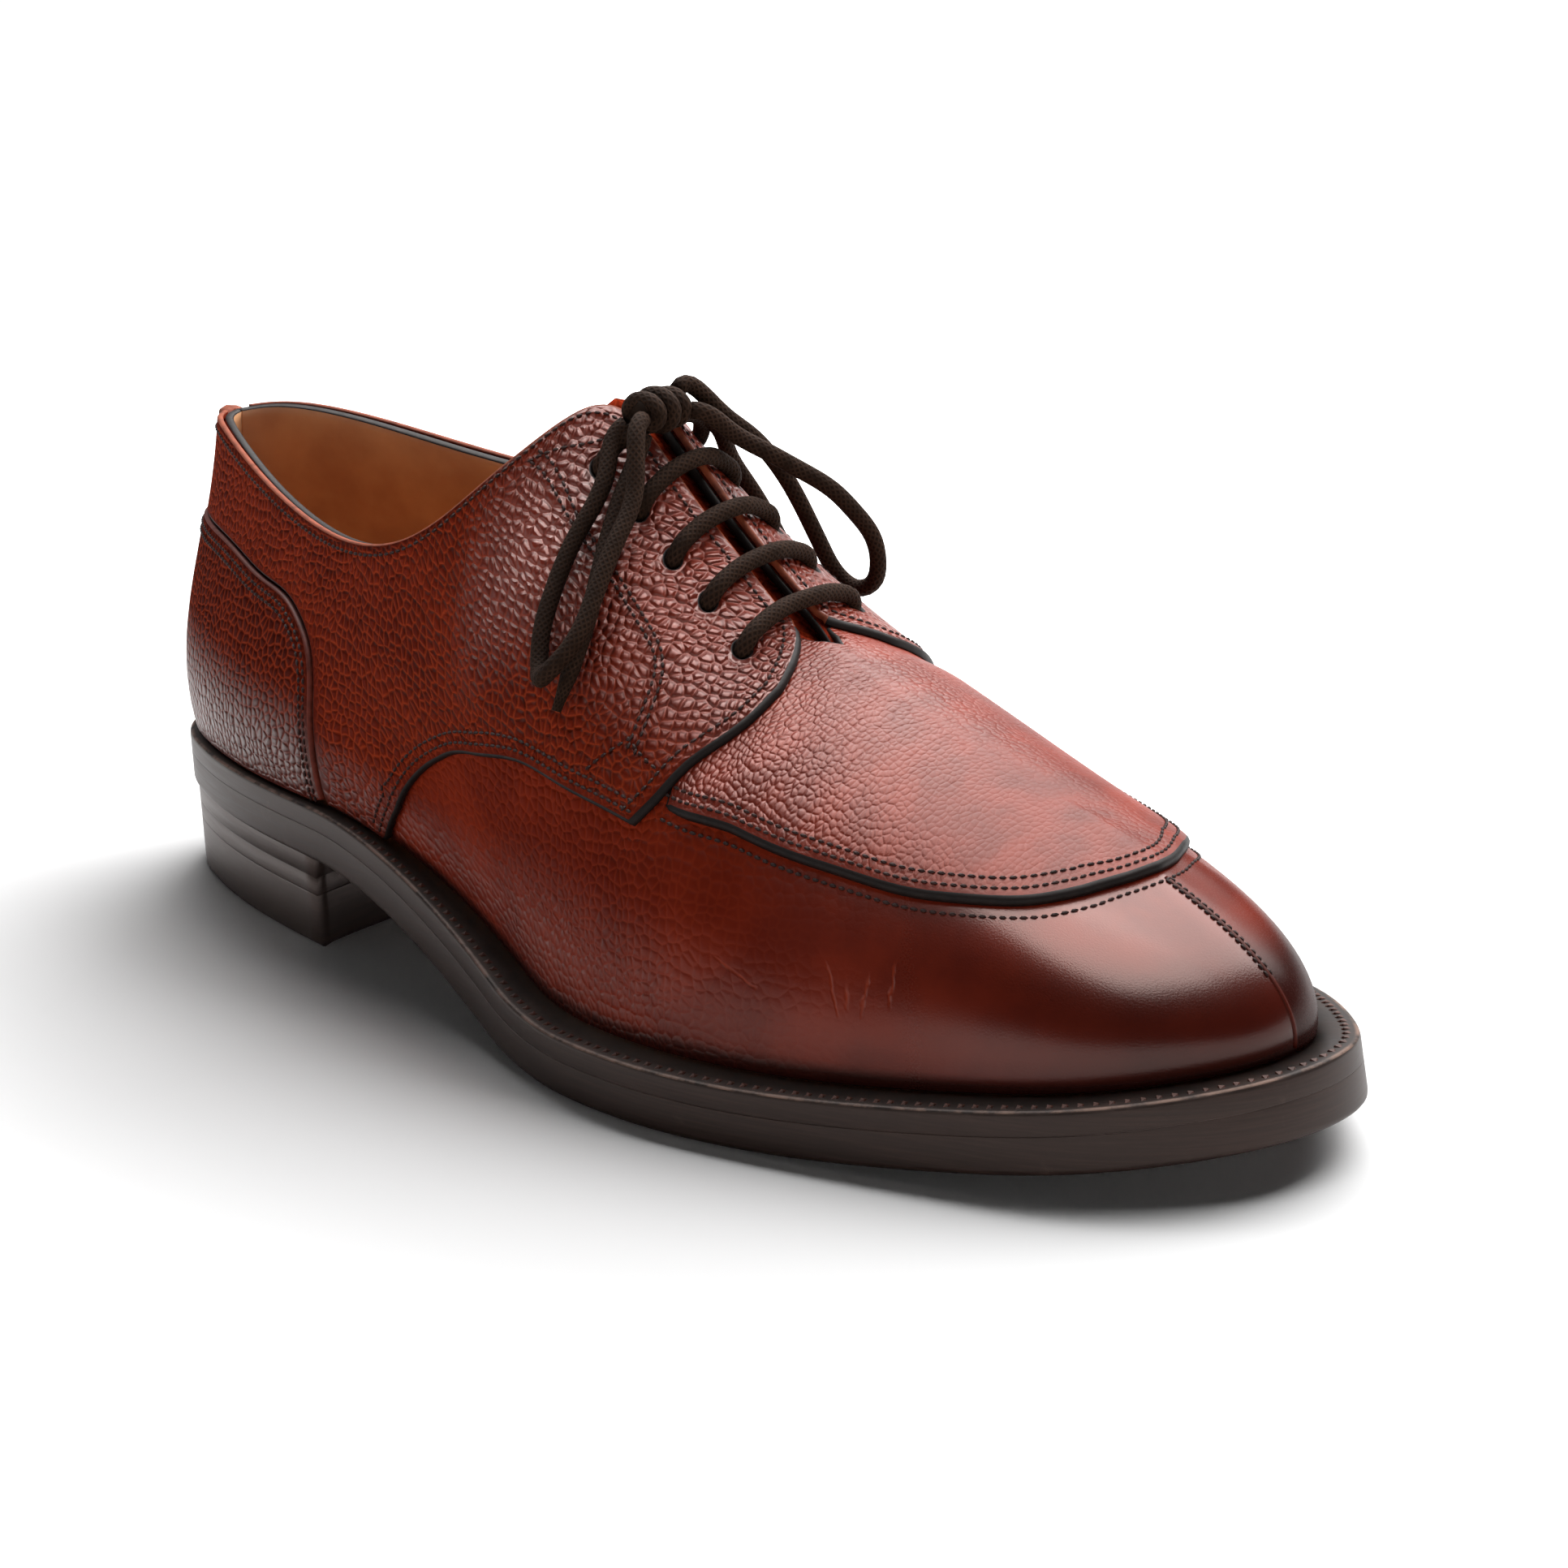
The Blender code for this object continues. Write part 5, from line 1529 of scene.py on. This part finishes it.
def tongue_layer(depth):
    """Ribs of one face of the tongue, with its rounded head above the last rib."""
    middle = len(TONGUE_SPREAD)

    def rib(row):
        at = np.full(middle, row)
        left = skin(at, TONGUE_SPREAD, LATERAL, -depth)
        right = skin(at, TONGUE_SPREAD[::-1], MEDIAL, -depth)
        centre = (skin(row, 1.0, LATERAL, -depth) + skin(row, 1.0, MEDIAL, -depth))/2
        return np.vstack((left, centre, right))

    ribs = [rib(row) for row in TONGUE_ROWS]
    head = ribs[0]
    rise = head[middle] - ribs[1][middle]
    rise /= np.linalg.norm(rise)
    reach, narrow, sink = (np.array((0.0,) + column) for column in zip(*TONGUE_HEAD))
    narrow[0] = 1.0
    for level in np.linspace(0.0, reach[-1], 9)[1:]:
        width = cubic(reach, narrow[:, None], level)[0, 0]
        drop = np.array((0.0, 0.0, cubic(reach, sink[:, None], level)[0, 0]))
        ribs.insert(0, head[middle] + (head - head[middle])*width + rise*level - drop)
    return np.vstack(ribs), len(ribs), 2*middle + 1


outer, columns, count = tongue_layer(WALL + SKIN_GAP)
inner, columns, count = tongue_layer(WALL + SKIN_GAP + TONGUE)
points, faces = sheet_shell(outer, inner, columns, count)
faces = outward(points, faces)
flat = [points[v, :2]/MM_PER_UV for face in faces for v in face]
kinds = [int(min(face) >= len(outer)) for face in faces]
piece("tongue", points, faces, [HIDE, LINING], kinds, flat,
      evenly(len(points), {"grain": 0.6, "burnish": 0.1, "gloss": 0.0}))
print("tongue:", len(faces), "faces")

# %% [markdown]
# ## Stitches
# Seams are sewn in rows of short stitches, often in pairs two millimetres apart. Geometry nodes walk
# along a line and set a small spindle of thread on every step, each a little different in length.
# Hundreds of stitches then come from one tree with three sizes, and a row can be moved or respaced by
# changing its line alone.

# %% Stitch nodes
STITCH_SEED = 7
SPINDLE_FACES = 20


def stitch_tree():
    """Node tree that turns lines into rows of stitches."""
    tree = bpy.data.node_groups.new("stitch row", "GeometryNodeTree")
    tree.interface.new_socket("Geometry", in_out="INPUT", socket_type="NodeSocketGeometry")
    for name in ("Spacing", "Length", "Width"):
        tree.interface.new_socket(name, in_out="INPUT", socket_type="NodeSocketFloat")
    tree.interface.new_socket("Thread", in_out="INPUT", socket_type="NodeSocketMaterial")
    tree.interface.new_socket("Geometry", in_out="OUTPUT", socket_type="NodeSocketGeometry")
    made = {}
    for key, kind in (("in", "NodeGroupInput"), ("line", "GeometryNodeMeshToCurve"),
                      ("points", "GeometryNodeCurveToPoints"), ("spindle", "GeometryNodeMeshIcoSphere"),
                      ("size", "ShaderNodeCombineXYZ"), ("vary", "FunctionNodeRandomValue"),
                      ("long", "ShaderNodeMath"), ("set", "GeometryNodeInstanceOnPoints"),
                      ("real", "GeometryNodeRealizeInstances"), ("paint", "GeometryNodeSetMaterial"),
                      ("out", "NodeGroupOutput")):
        made[key] = tree.nodes.new(kind)
    made["points"].mode = "LENGTH"
    made["long"].operation = "MULTIPLY"
    made["spindle"].inputs["Subdivisions"].default_value = 1
    made["spindle"].inputs["Radius"].default_value = 1.0
    shortest, longest = made["vary"].inputs[2:4]
    shortest.default_value = 0.44
    longest.default_value = 0.54
    made["vary"].inputs["Seed"].default_value = STITCH_SEED
    for first, output, second, target in (
            ("in", "Geometry", "line", "Mesh"), ("line", "Curve", "points", "Curve"),
            ("in", "Spacing", "points", "Length"), ("points", "Points", "set", "Points"),
            ("points", "Rotation", "set", "Rotation"), ("spindle", "Mesh", "set", "Instance"),
            ("in", "Width", "size", "X"), ("in", "Width", "size", "Y"), ("in", "Length", "long", 0),
            ("vary", 1, "long", 1), ("long", 0, "size", "Z"), ("size", "Vector", "set", "Scale"),
            ("set", "Instances", "real", "Geometry"), ("real", "Geometry", "paint", "Geometry"),
            ("in", "Thread", "paint", "Material"), ("paint", "Geometry", "out", "Geometry")):
        tree.links.new(made[first].outputs[output], made[second].inputs[target])
    return tree


STITCH_TREE = stitch_tree()
print("stitch tree:", len(STITCH_TREE.nodes), "nodes")

# %% [markdown]
# To sew, the lines are made a mesh of edges with the tree as a modifier. Its sizes are set by the
# identifier of each input before the tree first runs. What it gives is taken off as a plain mesh, and
# the line is thrown away.

# %% Sewing
def sew(name, lines, spacing=1.75, length=1.5, width=0.36, thread=THREAD):
    """Rows of stitches along lines of points, as one plain mesh on the shoe."""
    points, edges, start = [], [], 0
    for line in lines:
        points.append(line)
        edges += [(start + k, start + k + 1) for k in range(len(line) - 1)]
        start += len(line)
    mesh = bpy.data.meshes.new(name)
    mesh.from_pydata(in_metres(np.vstack(points)), edges, [])
    work = show(bpy.data.objects.new(name + " line", mesh))
    nodes = work.modifiers.new("stitches", "NODES")
    nodes.node_group = STITCH_TREE
    sizes = {"Spacing": spacing*MM, "Length": length*MM, "Width": width*MM, "Thread": thread}
    for item in STITCH_TREE.interface.items_tree:
        if item.in_out == "INPUT" and item.name in sizes:
            nodes[item.identifier] = sizes[item.name]
    sewn = bpy.data.meshes.new_from_object(work.evaluated_get(bpy.context.evaluated_depsgraph_get()))
    bpy.data.objects.remove(work)
    hang(bpy.data.objects.new(name, sewn), name)
    print(name, len(sewn.polygons)//SPINDLE_FACES, "stitches")


print("sewn with", THREAD.name, "by default")

# %% [markdown]
# A row is a line on the last, moved sideways from an edge by millimetres. Pairs of rows hold the apron,
# the vamp seam and the counter. Single rows follow the top line and the facing, and short ones hold the
# ends of the lacing. Round the toe the rows keep to the ribs, so that both sides meet at the seam.

# %% Stitch rows
TOE_ROWS = (15.0, 2.0)
PROUD = 0.06


def beside(line, distance):
    """Line in (row, rib place) moved to its left by millimetres on the last."""
    scale = np.column_stack(steps_of(line[:, 0], line[:, 1]))
    step = np.gradient(line, axis=0)*scale
    step /= np.linalg.norm(step, axis=1)[:, None]
    across = np.column_stack((-step[:, 1], step[:, 0]))
    share = smooth((line[:, 0] - TOE_ROWS[0])/TOE_ROWS[1])
    across[:, 0] *= 1.0 - share
    across[:, 1] = across[:, 1]*(1.0 - share) + share/np.maximum(np.abs(step[:, 0]), 0.6)*np.sign(step[:, 0])
    return line + across*distance/scale


def sewn_on(line, side, lift):
    """Line of a seam on one side of the shoe."""
    line = line[(line[:, 0] >= 0.0) & (line[:, 0] <= LAST_ROW) & (line[:, 1] <= 1.0)]
    height = lift(line[:, 0], line[:, 1], side) if callable(lift) else lift
    return skin(line[:, 0], line[:, 1], side, height + PROUD)


PAIR, COUNTER_PAIR, TOE_BESIDE = (1.9, 3.9), (-2.0, -3.8), 0.6
BELOW_APRON, BELOW_COLLAR, BESIDE_FACING = -2.7, -2.3, -2.5
EYESTAY = ((8.55, 0.915), (9.93, 0.765), (10.9, 0.745), (11.55, 0.72), (11.9, 0.69), (11.95, 0.615),
           (11.88, 0.535))
FACING_TOP = ((8.47, 0.93), (9.12, 0.90), (9.58, 0.908), (9.92, 0.945))
STAY = (((11.86, 0.545), (11.55, 0.505), (11.22, 0.462)), ((11.86, 0.545), (12.1, 0.535), (12.38, 0.53)))
top_line = straight(np.linspace(0.5, 10.2, 120), 1.0)
throat = np.vstack((straight(np.linspace(10.3, 13.0, 40), 1.0), run(CORNER), run(FACING)[::-1]))
pair = [beside(run(APRON_EDGE), gap) for gap in PAIR]
sew("stitches_apron", [sewn_on(line, side, apron_lift) for side in BOTH for line in pair])
sew("stitches_vamp", [sewn_on(beside(run(APRON_EDGE), BELOW_APRON), side, 0.0) for side in BOTH])
rows = [beside(run(VAMP_SEAM), gap) for gap in PAIR]
rows += [run(EYESTAY), beside(run(EYESTAY), PAIR[0]), beside(top_line, BELOW_COLLAR)]
rows += [beside(throat, BESIDE_FACING), run(FACING_TOP), *(run(line) for line in STAY)]
for side_name, side in zip(SIDE_NAMES, BOTH):
    sew("stitches_quarter_" + side_name, [sewn_on(line, side, ON_QUARTER) for line in rows])
pair = [beside(run(COUNTER_TOP), gap) for gap in COUNTER_PAIR]
sew("stitches_counter", [sewn_on(line, side, ON_COUNTER) for side in BOTH for line in pair])
toe = np.linspace(0.34, 0.70, 40)
sew("stitches_toe", [skin(beside_seam(LAST_ROW, toe, TOE_BESIDE), toe, side, 0.1) for side in BOTH],
    spacing=1.5, length=1.3, width=0.34)

# %% [markdown]
# ## Sole and heel
# The sole is built from the ground up: a top piece and a stack of lifts for the heel, the outsole, and
# the welt that the upper is sewn to. Their edges are trimmed, rounded over and waxed. Each layer is a
# pile of rings, and a ring is one step of the edge's profile: how far inside the sole's edge it lies,
# and how high.

# %% Sole layers
LOOP_ROWS = np.concatenate((np.arange(0.0, 1.5, 0.0625), np.arange(1.5, 18.5, 0.125),
                            np.arange(18.5, 20.01, 0.0625)))
WELT_BASE = OUTSOLE + GAP


def sole_ring(inset, height):
    """Closed ring of points on one layer of the sole, lateral side first, inside the sole's edge."""
    at = np.concatenate((loop_at(LOOP_ROWS, LATERAL), loop_at(LOOP_ROWS[-2:0:-1], MEDIAL)))
    edge = sole_edge(at)
    inward = inset(edge[:, 0]) if callable(inset) else np.full(len(at), inset)
    return sole_point(edge - edge_normal(at)*inward[:, None], height)


def cap_faces(start, count):
    """Strips across a ring from the lateral to the medial side, heel to toe."""
    faces = []
    for i in range(count//2):
        ring = (start + i, start + i + 1, start + (count - i - 1) % count, start + (count - i) % count)
        faces.append(tuple(dict.fromkeys(ring)))
    return faces


def under_upper(x):
    """Inner edge of the welt, from the sole's edge."""
    return ledge(x) + WELT_UNDER


def beside_welt(x):
    """Edge of the insole inside the welt."""
    return under_upper(x) + GAP


def smooth_sides(made):
    """Smooth shading on faces with four corners only."""
    made.data.polygons.foreach_set("use_smooth", [len(f.vertices) == 4 for f in made.data.polygons])
    return made


def sole_layer(name, profile, material):
    """Solid layer of the sole from (inset, height) steps of its side, bottom to top."""
    rings = [sole_ring(inset, height) for inset, height in profile]
    count = len(rings[0])
    points = np.vstack(rings)
    faces = ring_faces(len(rings), count)
    faces += [face[::-1] for face in cap_faces(0, count)] + cap_faces((len(rings) - 1)*count, count)
    return smooth_sides(piece(name, points, outward(points, faces), [material]))


sole_layer("outsole", ((1.4, 0.0), (0.6, 0.15), (0.15, 0.6), (0.0, 1.2), (0.0, 6.6), (0.03, OUTSOLE + 0.15),
                       (0.05, WELT_BASE)), SOLE_EDGE)
sole_layer("insole", ((beside_welt, WELT_BASE), (beside_welt, SOLE_STACK + 0.1)), LINING)
print("outsole and insole:", round(SOLE_STACK, 1), "mm thick with the welt")

# %% [markdown]
# The welt is a narrow strip between the upper and the outsole, sewn to both. It is a closed ring, so
# its profile runs right round: up the inked side, over the rim that is painted pale as wear and as a
# highlight, across the top and down inside, under the upper.

# %% Welt
RIM_WEAR_AND_HIGHLIGHT_STEPS = (4, 5)
profile = ((0.05, WELT_BASE), (0.03, WELT_BASE + 0.1), (0.0, WELT_BASE + 0.3), (0.0, SOLE_STACK - 0.9),
           (0.12, SOLE_STACK - 0.35), (0.5, SOLE_STACK - 0.05), (1.0, SOLE_STACK), (under_upper, SOLE_STACK),
           (under_upper, WELT_BASE))
rings = [sole_ring(inset, height) for inset, height in profile]
points = np.vstack(rings)
faces = outward(points, ring_faces(len(rings), len(rings[0]), True))
step = np.repeat(np.arange(len(rings)), len(rings[0]))
kinds = [int(step[list(face)].max() < RIM_WEAR_AND_HIGHLIGHT_STEPS[-1]) for face in faces]
piece("welt", points, faces, [WELT, SOLE_EDGE], kinds,
      values={"rubbed": np.isin(step, RIM_WEAR_AND_HIGHLIGHT_STEPS).astype(float)})
print("welt:", len(rings), "rings of", len(rings[0]), "points")

# %% [markdown]
# The welt is sewn to the outsole, and a toothed wheel is run hot over the seam, so the top of the welt
# is left with a row of small ridges across it. They are fat stitches sunk in the welt, from the waist
# round the toe, painted a paler brown than the welt as a painted highlight on their tops.

# %% Wheel marks on the welt
WAIST_ROW, MARKS_IN, MARKS_SUNK = 5.5, 0.32, 0.7
rows = np.linspace(WAIST_ROW, LAST_ROW, 160)
around = np.concatenate((loop_at(rows, LATERAL), loop_at(rows[-2::-1], MEDIAL)))
edge = sole_edge(around)
inner = edge - edge_normal(around)*(MARKS_IN*ledge(edge[:, 0]))[:, None]
sew("stitches_welt", [sole_point(inner, SOLE_STACK - MARKS_SUNK)], spacing=2.6, length=1.9, width=1.25,
    thread=WHEEL_MARK_HIGHLIGHT)

# %% [markdown]
# The heel is a stack of leather lifts with a harder top piece that meets the ground. It is trimmed
# together with the sole, so its rings are the sole's own edge moved in. Its front, the breast, is
# hollowed a little, and a fine groove shows where two lifts meet.

# %% Heel
GROOVE_LOW, GROOVE_HIGH, GROOVE, GROOVE_LIP = 14.8, 15.0, 0.06, 0.06


def heel_layer(name, profile):
    """Upright layer of the heel with a hollow breast, from (inset, height) steps of its side."""
    front = np.interp(BREAST_X, TABLE["sole_x"], np.arange(ROWS))
    rows = np.append(LOOP_ROWS[LOOP_ROWS < front - 0.05], front)
    at = np.concatenate((loop_at(rows[::-1], LATERAL), loop_at(rows[1:], MEDIAL)))
    normal = edge_normal(at)
    rings = []
    for inset, height in profile:
        edge = sole_edge(at) - normal*(HEEL_INSET + inset)
        share = np.linspace(0.0, 1.0, 25)[1:-1, None]
        breast = edge[-1]*(1 - share) + edge[0]*share
        breast[:, 0] -= 4*BREAST_HOLLOW*(share*(1 - share))[:, 0] + inset
        plan = np.vstack((edge, breast))
        rings.append(np.column_stack((plan, np.full(len(plan), height))))
    count = len(rings[0])
    points = np.vstack(rings)
    faces = ring_faces(len(rings), count)
    faces += [tuple(range(count))[::-1], tuple(range((len(rings) - 1)*count, len(rings)*count))]
    return smooth_sides(piece(name, points, outward(points, faces), [HEEL_EDGE]))


low, high = TOP_PIECE + GAP, HEEL_LIFT - GAP
heel_layer("heel_top_piece", ((0.7, 0.0), (0.2, 0.2), (0.0, 0.8), (0.0, TOP_PIECE - 0.1),
                              (0.04, TOP_PIECE + 0.15), (0.08, low)))
heel_layer("heel_stack", ((0.08, low), (0.04, low + 0.15), (0.0, low + 0.3), (0.0, GROOVE_LOW),
                          (GROOVE, GROOVE_LOW + GROOVE_LIP), (GROOVE, GROOVE_HIGH - GROOVE_LIP),
                          (0.0, GROOVE_HIGH), (0.0, high - 0.1), (0.04, high + 0.15),
                          (0.08, HEEL_LIFT)))
print("heel:", round(HEEL_LIFT, 1), "mm high")

# %% Pieces made
print("pieces:", len(MADE), "faces:", sum(len(o.data.polygons) for o in MADE.values()))
